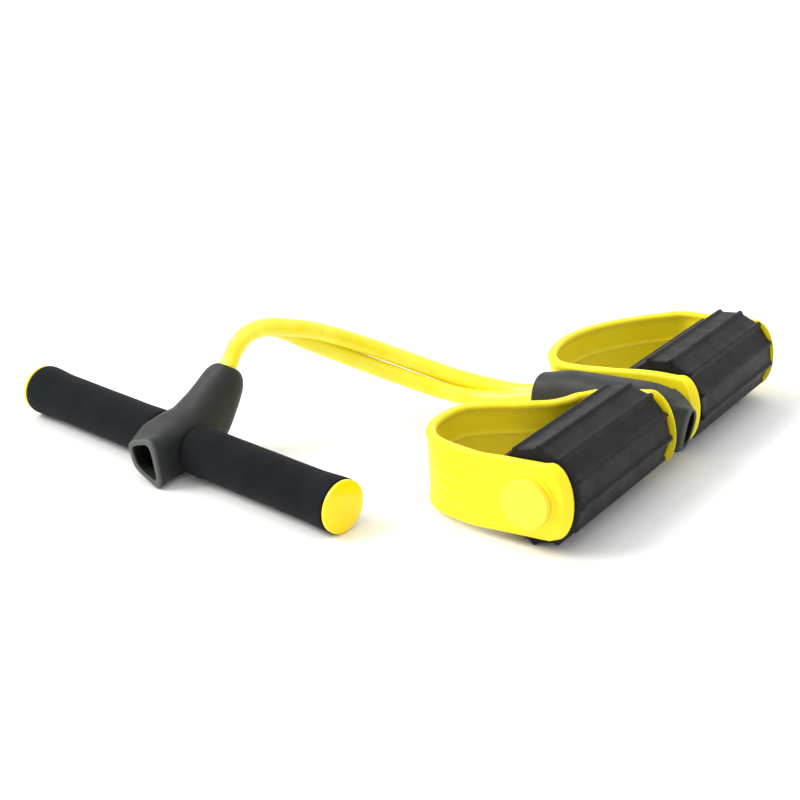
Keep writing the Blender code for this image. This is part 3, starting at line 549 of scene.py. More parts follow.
grip_rings += [(BAR_BORE, 0.0), (BAR_BORE, grip_length), grip_rings[0]]

cap_radius = GRIP_END - CAP_INSET
cap_rings = [(cap_radius * t, CAP_DOME * (1 - t ** CAP_DOME_POWER)) for t in CAP_DOME_SHARES]
cap_rings += [(cap_radius * CAP_RIM_WIDE, CAP_DOME * CAP_RIM_HIGH), (cap_radius, -CAP_RIM_DROP)]
cap_rings += [(cap_radius, -CAP_EDGE)]
cap_rings += [(STEM_RADIUS, -CAP_EDGE), (STEM_RADIUS, -CAP_EDGE - STEM_LENGTH * STEM_STRAIGHT)]
cap_rings += [(STEM_RADIUS - STEM_TAPER, -CAP_EDGE - STEM_LENGTH)]

for side_name, side in (("near", 1), ("far", -1)):
    grip = uneven(turned(f"foam_grip_{side_name}", grip_rings, FOAM_SIDES, sleeve=True), *FOAM_WANDER)
    softened(laid(grip, HANDLE, side, side * GRIP_START), 50)
    grip.data.materials.append(foam)
    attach(grip, "handle_unit")
    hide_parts(f"grip_{side_name}")
    cap = turned(f"end_cap_{side_name}", cap_rings, FOAM_SIDES)
    softened(laid(cap, HANDLE, side, side * (HANDLE_LENGTH / 2 - CAP_DOME)), 30)
    cap.data.materials.append(gloss)
    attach(cap, "handle_unit")
    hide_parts(f"handle_cap_{side_name}")


# Connectors and plugs
# Each connector is one moulding of soft grey rubber: a mouth where the tubes are fed in and
# plugged, a cross hole for the bar or axle, and a thick neck that grips both tubes. The mould's
# two halves leave a fine seam along both sides.
CONNECTOR_WIDTH = 0.030
CONNECTOR_TOP = 0.0202
MOUTH_INNER_WALL = 0.0018
MOUTH_DEPTH = 0.0190
NECK_TIP_WIDE = 0.0129
# A neck's form: half height, length of its rounded tip, how far that stands out, how far it
# draws in, its pinch between the tubes and the way in which the pair lies.
HANDLE_NECK_FORM = (0.0121, 0.0110, 0.0024, 0.0026, 0.0047, math.radians(50))
PEDAL_NECK_FORM = (0.01425, 0.0034, 0.0, 0.0022, 0.0, 0.0)
# A mouth's form: half width, height above and below, taper, squareness and skew.
HANDLE_MOUTH = (0.0122, 0.0124, 0.0130, 0.34, 4.2, 0.0045)
PEDAL_MOUTH = (0.0074, 0.0118, 0.0150, 0.30, 2.4, 0.0)
# A lip: its wall, how far it leans and its reach from the bar or axle.
HANDLE_LIP = (0.0036, math.radians(3.0), 0.0320)
PEDAL_LIP = (0.0019, math.radians(9.0), 0.0306)
HANDLE_UNDERSIDE = 0.0160
PEDAL_UNDERSIDE = 0.0190
MOUTH_SHARES = (1.0, 0.55, 0.2)
NECK_SHARES = ((0.2, 0.06), (0.48, 0.25), (0.76, 0.58), (1.0, 1.0))
MOUTH_RINGS = 12
DOME_RINGS = 12
DOME_GAP = 0.001
LIP_INSIDE = ((0.0008, 0.0001), (0.0002, 0.0004), (0.0, 0.0009))
LIP_OUTSIDE = ((0.0, 0.0009), (0.00012, 0.0005), (0.0004, 0.00015), (0.0008, 0.0))
LIP_DEPTH = 0.0010
END_INSET = 0.0012
END_ROUND = 0.0006
CONNECTOR_SIDES = 64
CONNECTOR_STEP = 0.0024
SEAM_HEIGHT = 0.00013
SEAM_FADE = 14
BORE_RADIUS = 0.0074
BORE_HALF = 0.03
BORE_SIDES = 48
TUBE_ROOM = 0.0002
TUBE_HOLE_EXTRA = 0.003
TUBE_HOLE_SIDES = 28
HANDLE_HOLE = (0.0, 0.27)
PEDAL_HOLE = (0.70, 1.0)
PLUG_RADIUS = 0.0059
PLUG_LENGTH = 0.004
PLUG_CORNER = 0.0014
PLUG_BEVEL = 0.0002
PLUG_DIMPLE = (0.0012, 0.0016, 0.0006)
PLUG_SIDES = 40
END_GAP = 0.0003
RUBBER_COLOURS = ((0.013, 0.0158, 0.0142), (0.020, 0.0230, 0.0208))
# A lighter colour for the face of the lip round the mouth: a painted highlight on the rim.
LIP_HIGHLIGHT_COLOUR = (0.080, 0.092, 0.084)
RUBBER_ROUGHNESS = (0.46, 0.62)


def connector_spine(neck, mouth):
    """Middle line of a connector from its mouth to the tip of its neck."""
    reach, rise = neck
    tip = (-reach * math.cos(rise), reach * math.sin(rise))
    points = [(mouth * share, 0.0) for share in MOUTH_SHARES]
    points += [(tip[0] * x, tip[1] * z) for x, z in NECK_SHARES]
    return even_line([(x, 0.0, z) for x, z in points], CONNECTOR_STEP)


def connector_rows(reach, underside, high, mouth, mouth_form):
    """Rows along the spine of (place, half width, height above, below, taper, squareness, skew, shift)."""
    half, wide = CONNECTOR_WIDTH / 2, NECK_TIP_WIDE
    width, top, bottom, taper, square, skew = mouth_form
    inward = (half - width) * 0.18
    return [(-mouth, width, top, bottom, taper, square, skew, 0.0015),
            (-mouth * 0.75, half - inward, top * 1.12, underside * 0.80, taper * 0.6, 4.2,
             skew * 0.6, 0.0006),
            (-mouth * 0.52, half, CONNECTOR_TOP - 0.0034, underside * 0.95, 0.06, 4.0, 0.0, 0.0),
            (0.0, half, CONNECTOR_TOP, underside, 0.0, 2.9, 0.0, 0.0),
            (reach * 0.34, half - 0.0003, CONNECTOR_TOP - 0.0010, underside, 0.0, 2.8, 0.0, 0.0),
            (reach * 0.68, wide + 0.0006, high + 0.0044, high + 0.0020, 0.0, 2.3, 0.0, 0.0),
            (reach, wide, high, high, 0.0, 2.1, 0.0, 0.0)]


def connector_ring(station, flat_side, shift=0.0, inset=0.0, seam=0.0, pinch=0.0, pair_way=0.0):
    """One section of a connector, a rounded box at the mouth and an oval at the neck.

    A pinch draws it in further across the way in which the pair of tubes lies.
    """
    centre, along, half, top, bottom, taper, power, skew, aside = station
    up = Vector((along.z, 0.0, -along.x))
    ring = []
    for i in range(CONNECTOR_SIDES):
        angle = 2 * math.pi * i / CONNECTOR_SIDES
        c, s = math.cos(angle), math.sin(angle)
        shrink = inset + pinch * math.sin(angle - pair_way) ** 2
        across = math.copysign(abs(c) ** (2 / power), c)
        rise = math.copysign(abs(s) ** (2 / power), s)
        height = ((top if s > 0 else bottom) - shrink) * (1 + taper * across * flat_side)
        proud = seam if i in (0, CONNECTOR_SIDES // 2) else 0.0
        wide = half - shrink + proud
        y = wide * across + flat_side * (aside + skew * (1 - rise) / 2)
        ring.append(centre + along * shift + Vector((0.0, y, 0.0)) + up * rise * height)
    return ring


def carved(piece, cutter, operation="DIFFERENCE"):
    """Cuts or joins one piece with another and puts the other away."""
    carve = piece.modifiers.new("carve", "BOOLEAN")
    carve.operation = operation
    carve.object = cutter
    carve.solver = "EXACT"
    bpy.context.view_layer.objects.active = piece
    bpy.ops.object.modifier_apply(modifier=carve.name)
    bpy.data.objects.remove(cutter, do_unlink=True)


def connector(name, neck, neck_form, underside, flat_side, mouth_form, lip, place, bores):
    """The moulding as one skin, from the bottom of its mouth, over the lip and to the neck's tip."""
    high, dome, dome_out, dome_in, pinch, pair_way = neck_form
    mouth_wall, lean, mouth_reach = lip
    line = connector_spine(neck, mouth_reach)
    rows = connector_rows(neck[0], underside, high, mouth_reach, mouth_form)
    runs = runs_along(line)
    length = runs[-1] - mouth_reach
    stations = []
    for i, point in enumerate(line):
        s = runs[i] - mouth_reach
        along = Matrix.Rotation(lean * smooth_step(-s / mouth_reach), 3, "Y") @ heading(line, i)
        stations.append((point, along, *read_rows(rows, s if s < 0 else s * neck[0] / length)))
    mouth, tip = stations[0], stations[-1]
    rings = []
    for step in range(MOUTH_RINGS, 0, -1):
        share = step / MOUTH_RINGS
        depth = MOUTH_DEPTH * share
        inner = (mouth[0] + mouth[1] * depth, mouth[1], *read_rows(rows, depth - mouth_reach))
        wall = mouth_wall + (MOUTH_INNER_WALL - mouth_wall) * share
        if step == MOUTH_RINGS:
            rings.append(connector_ring(inner, flat_side, inset=wall + END_INSET))
            inner = (mouth[0] + mouth[1] * (depth - END_ROUND), *inner[1:])
        rings.append(connector_ring(inner, flat_side, inset=wall))
    rings += [connector_ring(mouth, flat_side, ahead, mouth_wall - shrink) for ahead, shrink in LIP_INSIDE]
    rings += [connector_ring(mouth, flat_side, ahead, shrink) for ahead, shrink in LIP_OUTSIDE]
    dome_start = runs[-1] - dome + dome_out - DOME_GAP
    before_dome = [station for station, run in zip(stations, runs) if 0 < run < dome_start]
    for index, station in enumerate(before_dome):
        seam = SEAM_HEIGHT * min(1.0, (len(before_dome) - 1 - index) / SEAM_FADE)
        rings.append(connector_ring(station, flat_side, seam=seam))
    for step in range(DOME_RINGS):
        angle = math.pi / 2 * step / (DOME_RINGS - 1)
        ahead, share = dome_out - dome * (1 - math.sin(angle)), 1 - math.cos(angle)
        run = runs[-1] + min(ahead, 0.0)
        index = max(i for i, value in enumerate(runs[:-1]) if value <= run)
        part = (run - runs[index]) / (runs[index + 1] - runs[index])
        before, after = stations[index], stations[index + 1]
        here = (before[0].lerp(after[0], part), before[1].lerp(after[1], part).normalized(),
                *read_rows(rows, (run - mouth_reach) * neck[0] / length))
        rings.append(connector_ring(here, flat_side, max(ahead, 0.0), dome_in * share,
                                    pinch=pinch * share, pair_way=pair_way))
    rings.append(connector_ring(tip, flat_side, dome_out, dome_in + END_INSET,
                                pinch=pinch, pair_way=pair_way))
    body = skinned(name, [[place @ p for p in ring] for ring in rings])
    for bore in bores:
        carved(body, skinned("bore", bore))
    cross = turned("cross_hole", [(BORE_RADIUS, -BORE_HALF), (BORE_RADIUS, BORE_HALF)], BORE_SIDES)
    carved(body, laid(cross, place))
    # The face of the lip round the mouth is marked for a lighter colour, a painted highlight on the rim.
    painted_lip_highlight = body.data.attributes.new("painted_lip_highlight", "FLOAT", "POINT")
    over = Matrix.Rotation(-lean, 4, "Y") @ Matrix.Translation((-mouth_reach, 0.0, 0.0)) @ place.inverted()
    for index, vertex in enumerate(body.data.vertices):
        painted_lip_highlight.data[index].value = 1.0 if abs((over @ vertex.co).x) < LIP_DEPTH else 0.0
    return softened(body, 38)


def tube_hole(line, first, last):
    """The hole that a tube fills between two shares of its length, drawn out a little at both ends."""
    part = line[int(len(line) * first):int(len(line) * last)]
    part[0] = part[0] + (part[0] - part[1]).normalized() * TUBE_HOLE_EXTRA
    part[-1] = part[-1] + (part[-1] - part[-2]).normalized() * TUBE_HOLE_EXTRA
    return round_sections(part, lambda share: tube_radius(first + (last - first) * share) + TUBE_ROOM,
                          TUBE_HOLE_SIDES)


rubber, rubber_tree, rubber_shader = finish_of("grey_rubber", (0.048, 0.056, 0.051), 0.58,
                                               Specular_IOR_Level=0.36, Sheen_Weight=0.03)
rubber_clouds = between(rubber_tree, grain_of(rubber_tree, 38.0, detail=5.0))
rubber_base = mixed(rubber_tree, rubber_clouds, *RUBBER_COLOURS)
# The marked face of the lip gets a lighter colour: a painted highlight round the mouth.
rubber_lip_highlight = put(rubber_tree, "ShaderNodeAttribute", {"attribute_name": "painted_lip_highlight"}).outputs["Fac"]
coloured(rubber_shader, rubber_lip_highlight, rubber_base, LIP_HIGHLIGHT_COLOUR)
roughened(rubber_shader, grain_of(rubber_tree, 120.0, detail=4.0), *RUBBER_ROUGHNESS)
rubber_waves = grain_of(rubber_tree, 140.0, detail=4.0)
rubber_soft = raised(rubber_shader, rubber_waves, depth=0.0003, strength=0.1)
rubber_grain = grain_of(rubber_tree, 2600.0, detail=2.0)
raised(rubber_shader, rubber_grain, depth=0.00005, strength=0.6, under=rubber_soft)

pair = tube_lines()
in_handle = [tube_hole(line, *HANDLE_HOLE) for line in pair]
in_pedals = [tube_hole(line, *PEDAL_HOLE) for line in pair]
handle_body = connector("handle_connector_body", HANDLE_NECK, HANDLE_NECK_FORM, HANDLE_UNDERSIDE, 1,
                        HANDLE_MOUTH, HANDLE_LIP, HANDLE, in_handle)
pedal_body = connector("pedal_connector_body", PEDAL_NECK, PEDAL_NECK_FORM, PEDAL_UNDERSIDE, -1,
                       PEDAL_MOUTH, PEDAL_LIP, PEDALS, in_pedals)
for body, node, joiner in ((handle_body, "handle_connector", "handle_joiner"),
                           (pedal_body, "pedal_connector", "pedal_joiner")):
    body.data.materials.append(rubber)
    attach(body, joiner)
    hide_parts(node)

dimple_floor, dimple_mouth, dimple_depth = PLUG_DIMPLE
plug_rings = [(dimple_floor, PLUG_LENGTH - dimple_depth), (dimple_mouth, PLUG_LENGTH)]
plug_rings += rounded(PLUG_RADIUS, PLUG_LENGTH, PLUG_CORNER, 5)
plug_rings += [(PLUG_RADIUS, PLUG_BEVEL), (PLUG_RADIUS - PLUG_BEVEL, 0.0)]
for tube_name, line in zip(("upper", "lower"), pair):
    for place_name, end, inward, joiner in (("handle", line[0], line[1], "handle_joiner"),
                                            ("pedal", line[-1], line[-2], "pedal_joiner")):
        out = (end - inward).normalized()
        turn = out.to_track_quat("Z", "Y").to_matrix().to_4x4()
        plug = turned(f"{place_name}_plug_{tube_name}", plug_rings, PLUG_SIDES)
        softened(settled(plug, Matrix.Translation(end + out * END_GAP) @ turn))
        plug.data.materials.append(gloss)
        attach(plug, joiner)
        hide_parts(f"{place_name}_stopper_{tube_name}")


# Axle and rollers
# A plated steel tube carries everything at the pedals. Each roller is a nylon sleeve that turns on
# it, inside a moulded foam drum with twelve narrow ridges between flat strips.
ROLLER_RADIUS = 0.02935
ROLLER_LENGTH = 0.1135
ROLLER_MIDDLE = 0.08015
RIDGES = 12
RIDGE_HEIGHT = 0.0020
RIDGE_TOP = 0.0018
RIDGE_FOOT = 0.0056
RIDGE_FLANK = (0.0, 0.25, 0.5, 0.72, 0.88, 0.96)
RIDGE_FLANK_POWER = 1.45
RIDGE_CROWN = ((0.00004, 0.96), (0.0, 0.75), (0.0, 0.25))
STRIP_STEPS = 6
ROLLER_EDGE_DEPTH = 0.0007
ROLLER_EDGE = ((0.0, ROLLER_EDGE_DEPTH), (0.0002, 0.00025), (ROLLER_EDGE_DEPTH, 0.0))
ROLLER_STEPS = 32
ROLLER_WANDER = (0.022, 0.0003)
CORE_BORE = 0.0123
ROLLER_TURNS = {"near": 0.0, "far": math.radians(8.0)}
DRUM_COLOURS = ((0.0052, 0.0052, 0.0058), (0.0080, 0.0080, 0.0090))
DRUM_STREAK = (0.0110, 0.0108, 0.0118)
DRUM_ROUGHNESS = (0.43, 0.56)
NYLON_ROUGHNESS = (0.42, 0.6)


def ridge_points():
    """One ridge's outline as (radius, angle), from the flat before it to the flat after it."""
    top = RIDGE_TOP / 2 / ROLLER_RADIUS
    foot = RIDGE_FOOT / 2 / ROLLER_RADIUS
    flat = ROLLER_RADIUS - RIDGE_HEIGHT
    half = [(flat + RIDGE_HEIGHT * share ** RIDGE_FLANK_POWER, foot + (top - foot) * share)
            for share in RIDGE_FLANK]
    half += [(ROLLER_RADIUS - lower, top * share) for lower, share in RIDGE_CROWN]
    return [(r, -a) for r, a in half] + [(r, a) for r, a in reversed(half)]


def on_circle(radius, angle):
    """A point round the drum's middle."""
    return radius * math.cos(angle), radius * math.sin(angle)


def roller_outline(shrink=0.0):
    """The drum's outline; the strips between the ridges are flat."""
    pitch = 2 * math.pi / RIDGES
    ridge = ridge_points()
    outline = []
    for i in range(RIDGES):
        middle = pitch * i - math.pi / 2
        outline += [on_circle(r - shrink, middle + a) for r, a in ridge]
        strip_start, strip_end = ridge[-1][1], pitch + ridge[0][1]
        first = Vector(on_circle(ridge[0][0] - shrink, middle + strip_start))
        second = Vector(on_circle(ridge[0][0] - shrink, middle + strip_end))
        outline += [tuple(first.lerp(second, k / STRIP_STEPS)) for k in range(1, STRIP_STEPS)]
    return outline


def roller_sections():
    """Rings of the drum from its near end to its far end and back through its bore."""
    half = ROLLER_LENGTH / 2
    smooth = ROLLER_LENGTH - 2 * ROLLER_EDGE_DEPTH
    places = [(-half + inward, shrink) for inward, shrink in ROLLER_EDGE]
    places += [(-half + ROLLER_EDGE_DEPTH + smooth * step / ROLLER_STEPS, 0.0)
               for step in range(1, ROLLER_STEPS)]
    places += [(half - inward, shrink) for inward, shrink in reversed(ROLLER_EDGE)]
    rings = [[(x, y, z) for x, y in roller_outline(shrink)] for z, shrink in places]
    bore = [on_circle(CORE_BORE, math.atan2(y, x)) for x, y in roller_outline()]
    rings += [[(x, y, half) for x, y in bore], [(x, y, -half) for x, y in bore], rings[0]]
    return rings


drum, drum_tree, drum_shader = finish_of("charcoal_foam", (0.024, 0.024, 0.026), 0.5,
                                         Specular_IOR_Level=0.16)
drum_lines = grain_of(drum_tree, 420.0, detail=4.0, stretch=(1.0, 0.06, 1.0))
drum_streaks = between(drum_tree, drum_lines, low=0.35, high=0.7)
drum_clouds = between(drum_tree, grain_of(drum_tree, 60.0, detail=5.0))
drum_base = mixed(drum_tree, drum_clouds, *DRUM_COLOURS)
coloured(drum_shader, drum_streaks, drum_base, DRUM_STREAK)
roughened(drum_shader, grain_of(drum_tree, 90.0, detail=4.0), *DRUM_ROUGHNESS)
drum_waves = grain_of(drum_tree, 120.0, detail=4.0)
drum_soft = raised(drum_shader, drum_waves, depth=0.0004, strength=0.09)
raised(drum_shader, drum_streaks, depth=0.00005, strength=0.4, under=drum_soft)

nylon, nylon_tree, nylon_shader = finish_of("black_nylon", (0.025, 0.025, 0.025), 0.5)
roughened(nylon_shader, grain_of(nylon_tree, 200.0), *NYLON_ROUGHNESS)
raised(nylon_shader, grain_of(nylon_tree, 900.0), depth=0.00004, strength=0.4)

for node, finish in (("pedal_axle", zinc), ("roller_core_near", nylon), ("roller_core_far", nylon)):
    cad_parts[node].data.materials.clear()
    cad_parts[node].data.materials.append(finish)

for side_name, side in (("near", -1), ("far", 1)):
    roller = skinned(f"foam_roller_{side_name}", roller_sections(), sleeve=True)
    uneven(roller, *ROLLER_WANDER)
    middle = Matrix.Translation((0.0, side * ROLLER_MIDDLE, 0.0))
    turn = Matrix.Rotation(ROLLER_TURNS[side_name], 4, "Y") @ Matrix.Rotation(math.radians(90), 4, "X")
    softened(settled(roller, PEDALS @ middle @ turn), 32)
    roller.data.materials.append(drum)
    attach(roller, f"roller_{side_name}_unit")
    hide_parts(f"roller_{side_name}")


# Foot straps and their buttons
# Each strap is one moulding of supple yellow rubber, bent round from the connector to the outside
# of its roller. Its ends are thick, rounded and bevelled and carry the axle, its edges are beaded,
# and its outer end has a raised seat for a button that is knocked into the axle.
STRAP_WIDTH = 0.0443
STRAP_THICKNESS = 0.0042
STRAP_END_THICKNESS = 0.0055
STRAP_TILT = math.radians(-3.9)
STRAP_STEP = 0.0030
STRAP_END_ROUND = 0.0120
STRAP_END_ROUND_FADE = 0.030
STRAP_END_BEVEL = 0.0038
STRAP_END_WALL = 0.16
STRAP_TIP_DEPTH, STRAP_TIP_THINNER, STRAP_TIP_MIDDLE = 0.0002, 0.06, 0.47
STRAP_END_MARKS = (0.0, 0.0, STRAP_TIP_DEPTH, 0.0006, 0.0015, 0.0027, STRAP_END_BEVEL,
                   0.0041, 0.0047, 0.0060, 0.0085, 0.0115)
STRAP_END_ZONE = 0.0135
# Along the strap these run from nothing to full: (from the end, over this length).
STRAP_FORM_RUN = (0.046, 0.022)
STRAP_THINNING_RUN = (0.040, 0.018)
STRAP_EDGE = 0.0025
STRAP_CORNER_STEPS, STRAP_FLAT_STEPS = 6, 24
STRAP_BEAD_WIDTH = 0.0045
# Raised and sunken lines: how deep, and how wide each is or how its flank runs.
STRAP_BEAD = (0.0007, 0.0011, 0.0022)
STRAP_INNER_BEAD = (0.0015, 0.0014, 0.0036)
STRAP_GROOVE = (0.0005, 0.0024)
STRAP_GROOVES = (-0.0075, 0.0, 0.0075)
STRAP_RIB = (0.0009, 0.0022)
STRAP_RIB_HEIGHT = 0.0030
LEG_BEND = 0.03035
INNER_LEG = 0.0154
INNER_LEG_SHARES = (0.2, -0.33, -0.6)
INNER_LEG_SPREAD = 0.0005
OUTER_LEG = 0.1379
OUTER_LEG_SHARES = (-0.6, 0.0)
OUTER_LEG_EXTRA = 0.006
STRAP_REACHES = {"near": (0.0295, 0.0240), "far": (0.0270, 0.0285)}
STRAP_LOOPS = {"near": 0.0514, "far": 0.0530}
STRAP_LINES = {
    "near": [(0.126, 0.049), (0.171, 0.125), (0.233, 0.207), (0.432, 0.309), (0.706, 0.403),
             (0.938, 0.513), (1.0, 0.656), (0.911, 0.815), (0.638, 0.933)],
    "far": [(0.383, 0.004), (0.675, 0.017), (0.858, 0.089), (0.951, 0.203), (1.0, 0.342),
            (0.968, 0.497), (0.826, 0.656), (0.589, 0.807), (0.336, 0.925)]}
# Rows of (share of the length, lean and droop in degrees).
STRAP_HANG = {
    "near": [(0.0, 0.0, 7.5), (0.165, 0.0, 7.5), (0.20, 13.0, 7.3), (0.25, 18.0, 6.3),
             (0.36, 9.0, 1.5), (0.50, 0.0, 0.0), (1.0, 0.0, 0.0)],
    "far": [(0.0, 0.0, -3.0), (0.09, 0.0, 0.0), (0.20, 0.0, 4.0), (0.30, -5.0, 2.3),
            (0.40, -5.5, 0.3), (0.60, 0.0, 0.0), (1.0, 0.0, 0.0)]}
SEAT_RADIUS = 0.01625
SEAT_HEIGHT = 0.0028
SEAT_FILLET = 0.0025
SEAT_FILLET_FALL = 0.8
SEAT_CORNER = 0.0010
SEAT_MIDDLE = 0.002
SEAT_ROOT = 0.6
SEAT_STEPS = 6
BUTTON_RADIUS = 0.0144
BUTTON_HEAD = 0.0034
BUTTON_CORNER = 0.0008
BUTTON_MIDDLE = 0.0006
BUTTON_SIDES = 72
AXLE_END = 0.1462
AXLE_HOLE_EXTRA = 0.01
STRAP_COLOURS = ((0.96, 0.76, 0.006), (1.0, 0.84, 0.018))
STRAP_ROUGHNESS = (0.34, 0.52)
BUTTON_COLOURS = ((0.95, 0.70, 0.030), (1.0, 0.77, 0.045))


def strap_line(which):
    """Middle line of a strap in plan, from the tip of its inner leg to the tip of its outer leg."""
    inner, outer = INNER_LEG + STRAP_END_THICKNESS / 2, OUTER_LEG + STRAP_END_THICKNESS / 2
    line = [(STRAP_REACHES[which][0], inner)] + [(LEG_BEND * share, inner) for share in INNER_LEG_SHARES]
    line += [(-LEG_BEND, inner + INNER_LEG_SPREAD)]
    line += [(-LEG_BEND - STRAP_LOOPS[which] * out, inner + (outer - inner) * share)
             for out, share in STRAP_LINES[which]]
    line += [(-LEG_BEND - OUTER_LEG_EXTRA, outer)] + [(LEG_BEND * share, outer) for share in OUTER_LEG_SHARES]
    line += [(STRAP_REACHES[which][1], outer)]
    return even_line([(x, y, 0.0) for x, y in line], STRAP_STEP)


def strap_heights():
    """Heights of the band's section from its upper edge down, closer together at both edges."""
    flat = STRAP_WIDTH / 2 - STRAP_EDGE
    corner = [flat + STRAP_EDGE * math.sin(math.pi / 2 * k / STRAP_CORNER_STEPS)
              for k in range(STRAP_CORNER_STEPS, 0, -1)]
    middle = [flat * (1 - k / STRAP_FLAT_STEPS) for k in range(2 * STRAP_FLAT_STEPS + 1)]
    return corner + middle + [-z for z in reversed(corner)]


def edge_bead(z, bead):
    """How proud the bead along both edges stands at a height."""
    depth, before, flank = bead
    return depth * smooth_step((abs(z) - (STRAP_WIDTH / 2 - STRAP_BEAD_WIDTH) + before) / flank)


def strap_faces(depth, form, z):
    """How far the outer and inner face stand from the band's middle line at a height.

    form is 0 at the plain ends and 1 where the beaded edges, the grooves and the rib are full.
    """
    over = max(0.0, abs(z) - (STRAP_WIDTH / 2 - STRAP_EDGE))
    edge = STRAP_EDGE - math.sqrt(max(STRAP_EDGE ** 2 - over ** 2, 0.0))
    groove, groove_half = STRAP_GROOVE
    sunk = groove * sum(smooth_step(1 - abs(z - line) / groove_half) for line in STRAP_GROOVES)
    rib, rib_half = STRAP_RIB
    proud = rib * smooth_step(1 - abs(z - STRAP_RIB_HEIGHT) / rib_half)
    outer = depth + form * (edge_bead(z, STRAP_BEAD) - sunk) - edge
    inner = depth + form * (edge_bead(z, STRAP_INNER_BEAD) + proud) - edge
    return outer, -inner


def strap_sections(which, side):
    """Rings of a strap. At its ends they follow the rounded outline and slope down to a thin wall."""
    line = strap_line(which)
    runs = runs_along(line)
    total = runs[-1]
    half = STRAP_WIDTH / 2
    heights = strap_heights()
    stations = list(STRAP_END_MARKS)
    stations += [run for run in runs if STRAP_END_ZONE < run < total - STRAP_END_ZONE]
    stations += [total - run for run in reversed(STRAP_END_MARKS)]
    start, finish = (line[1] - line[0]).normalized(), (line[-1] - line[-2]).normalized()
    rings = []
    for index, run in enumerate(stations):
        last = index in (0, len(stations) - 1)
        from_end = min(run, total - run)
        lean, twist = (math.radians(value) for value in read_rows(STRAP_HANG[which], run / total))
        lower = Matrix.Rotation(-twist, 3, "Y")
        form, thinned = (smooth_step((from_end - begin) / length)
                         for begin, length in (STRAP_FORM_RUN, STRAP_THINNING_RUN))
        thick = STRAP_END_THICKNESS + (STRAP_THICKNESS - STRAP_END_THICKNESS) * thinned
        slim = STRAP_END_WALL + (1 - STRAP_END_WALL) * min(from_end / STRAP_END_BEVEL, 1.0)
        slim -= STRAP_TIP_THINNER * (1 - min(from_end / STRAP_TIP_DEPTH, 1.0))
        tip, inward = (line[0], start) if run < total / 2 else (line[-1], -finish)
        if from_end < STRAP_END_ZONE:
            point, along = tip + inward * from_end, start if run < total / 2 else finish
        else:
            place = runs.index(run)
            point, along = line[place], heading(line, place)
        outward = Vector((-along.y, along.x, 0.0))
        back = inward * STRAP_END_ROUND
        back = back * (1 - smooth_step((from_end - STRAP_END_BEVEL) / STRAP_END_ROUND_FADE))
        faces = [strap_faces(thick / 2, form, z) for z in heights]
        sides = [(outer, z) for (outer, inner), z in zip(faces, heights)]
        sides += [(inner, z) for (outer, inner), z in zip(reversed(faces), reversed(heights))]
        ring = []
        for offset, z in sides:
            moved = (offset + thick / 2) * slim - thick / 2
            if last:
                moved = (STRAP_END_WALL * STRAP_TIP_MIDDLE - 0.5) * thick
            curve = back * (1 - math.sqrt(max(1 - (z / half) ** 2, 0.0)))
            spot = point + curve + outward * (moved * math.cos(lean) - z * math.sin(lean))
            rise = z * math.cos(lean) + moved * math.sin(lean)
            ring.append(lower @ Vector((spot.x, side * spot.y, rise)))
        rings.append(ring)
    return rings


strap_finish, strap_tree, strap_shader = finish_of(
    "yellow_rubber", (0.97, 0.84, 0.012), 0.42, Specular_IOR_Level=0.32, Subsurface_Weight=0.12,
    Subsurface_Radius=(1.0, 0.75, 0.02), Subsurface_Scale=0.003)
strap_clouds = between(strap_tree, grain_of(strap_tree, 30.0, detail=5.0))
coloured(strap_shader, strap_clouds, *STRAP_COLOURS)
strap_scuffs = grain_of(strap_tree, 150.0, detail=5.0, rough=0.6)
roughened(strap_shader, strap_scuffs, *STRAP_ROUGHNESS)
strap_soft = raised(strap_shader, grain_of(strap_tree, 70.0), depth=0.0004, strength=0.2)
strap_grain = grain_of(strap_tree, 1800.0, detail=2.0)
raised(strap_shader, strap_grain, depth=0.00004, strength=0.4, under=strap_soft)

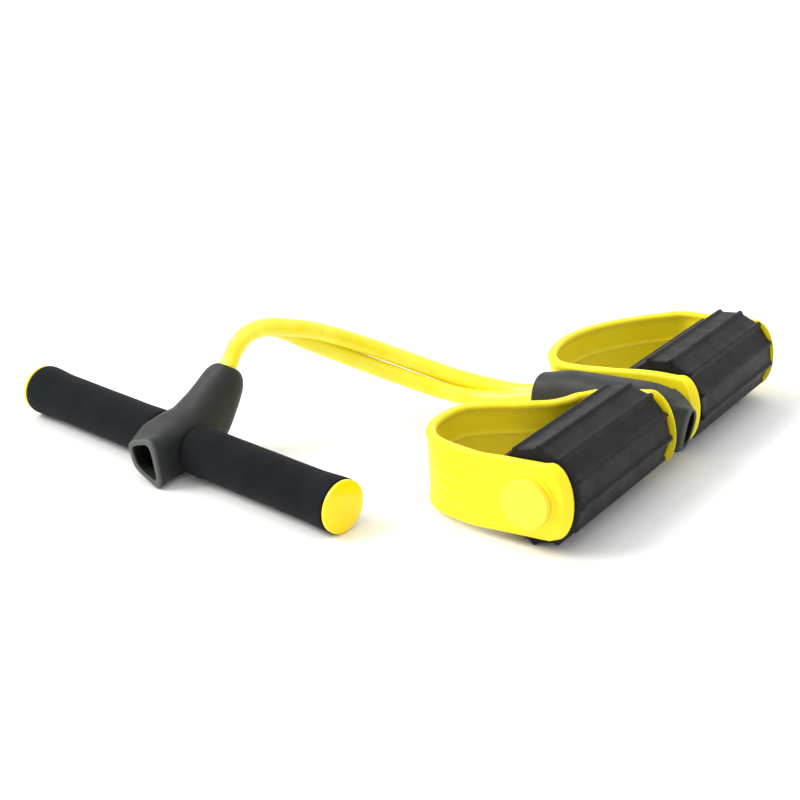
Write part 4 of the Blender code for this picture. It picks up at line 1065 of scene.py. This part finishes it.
button_finish, button_tree, button_shader = finish_of("pale_yellow_button", (0.98, 0.80, 0.07), 0.5)
button_clouds = between(button_tree, grain_of(button_tree, 90.0, detail=4.0))
coloured(button_shader, button_clouds, *BUTTON_COLOURS)
raised(button_shader, grain_of(button_tree, 2200.0, detail=2.0), depth=0.00005, strength=0.5)

seat_rings = [(SEAT_MIDDLE, SEAT_HEIGHT)] + rounded(SEAT_RADIUS, SEAT_HEIGHT, SEAT_CORNER, 6)
for step in range(SEAT_STEPS + 1):
    angle = math.pi / 2 * step / SEAT_STEPS
    seat_rings.append((SEAT_RADIUS + SEAT_FILLET * (1 - math.cos(angle)),
                       SEAT_FILLET * (1 - math.sin(angle)) * SEAT_FILLET_FALL))
seat_rings.append((SEAT_RADIUS + SEAT_FILLET, -STRAP_END_THICKNESS * SEAT_ROOT))
button_rings = [(BUTTON_MIDDLE, BUTTON_HEAD)] + rounded(BUTTON_RADIUS, BUTTON_HEAD, BUTTON_CORNER, 5)
button_rings += [(BUTTON_RADIUS, 0.0), (STEM_RADIUS, 0.0), (STEM_RADIUS, -STEM_LENGTH * STEM_STRAIGHT)]
button_rings += [(STEM_RADIUS - STEM_TAPER, -STEM_LENGTH)]
axle_hole_half = AXLE_END + AXLE_HOLE_EXTRA
axle_hole_rings = [(BORE_RADIUS, -axle_hole_half), (BORE_RADIUS, axle_hole_half)]

for side_name, side in (("near", -1), ("far", 1)):
    tilted = PEDALS @ Matrix.Rotation(STRAP_TILT, 4, "Y")
    strap_rings = [[tilted @ p for p in ring] for ring in strap_sections(side_name, side)]
    strap = skinned(f"foot_loop_{side_name}", strap_rings)
    seat = turned("seat", seat_rings, BUTTON_SIDES)
    carved(strap, laid(seat, tilted, side, side * (OUTER_LEG + STRAP_END_THICKNESS)), "UNION")
    carved(strap, laid(turned("axle_hole", axle_hole_rings, BORE_SIDES), tilted))
    softened(strap, 30)
    strap.data.materials.append(strap_finish)
    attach(strap, f"strap_{side_name}_unit")
    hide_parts(f"foot_strap_{side_name}")
    button = turned(f"axle_button_{side_name}", button_rings, BUTTON_SIDES)
    softened(laid(button, PEDALS, side, side * (AXLE_END + END_GAP)), 40)
    button.data.materials.append(button_finish)
    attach(button, "pedal_base")
    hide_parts(f"pedal_cap_{side_name}")
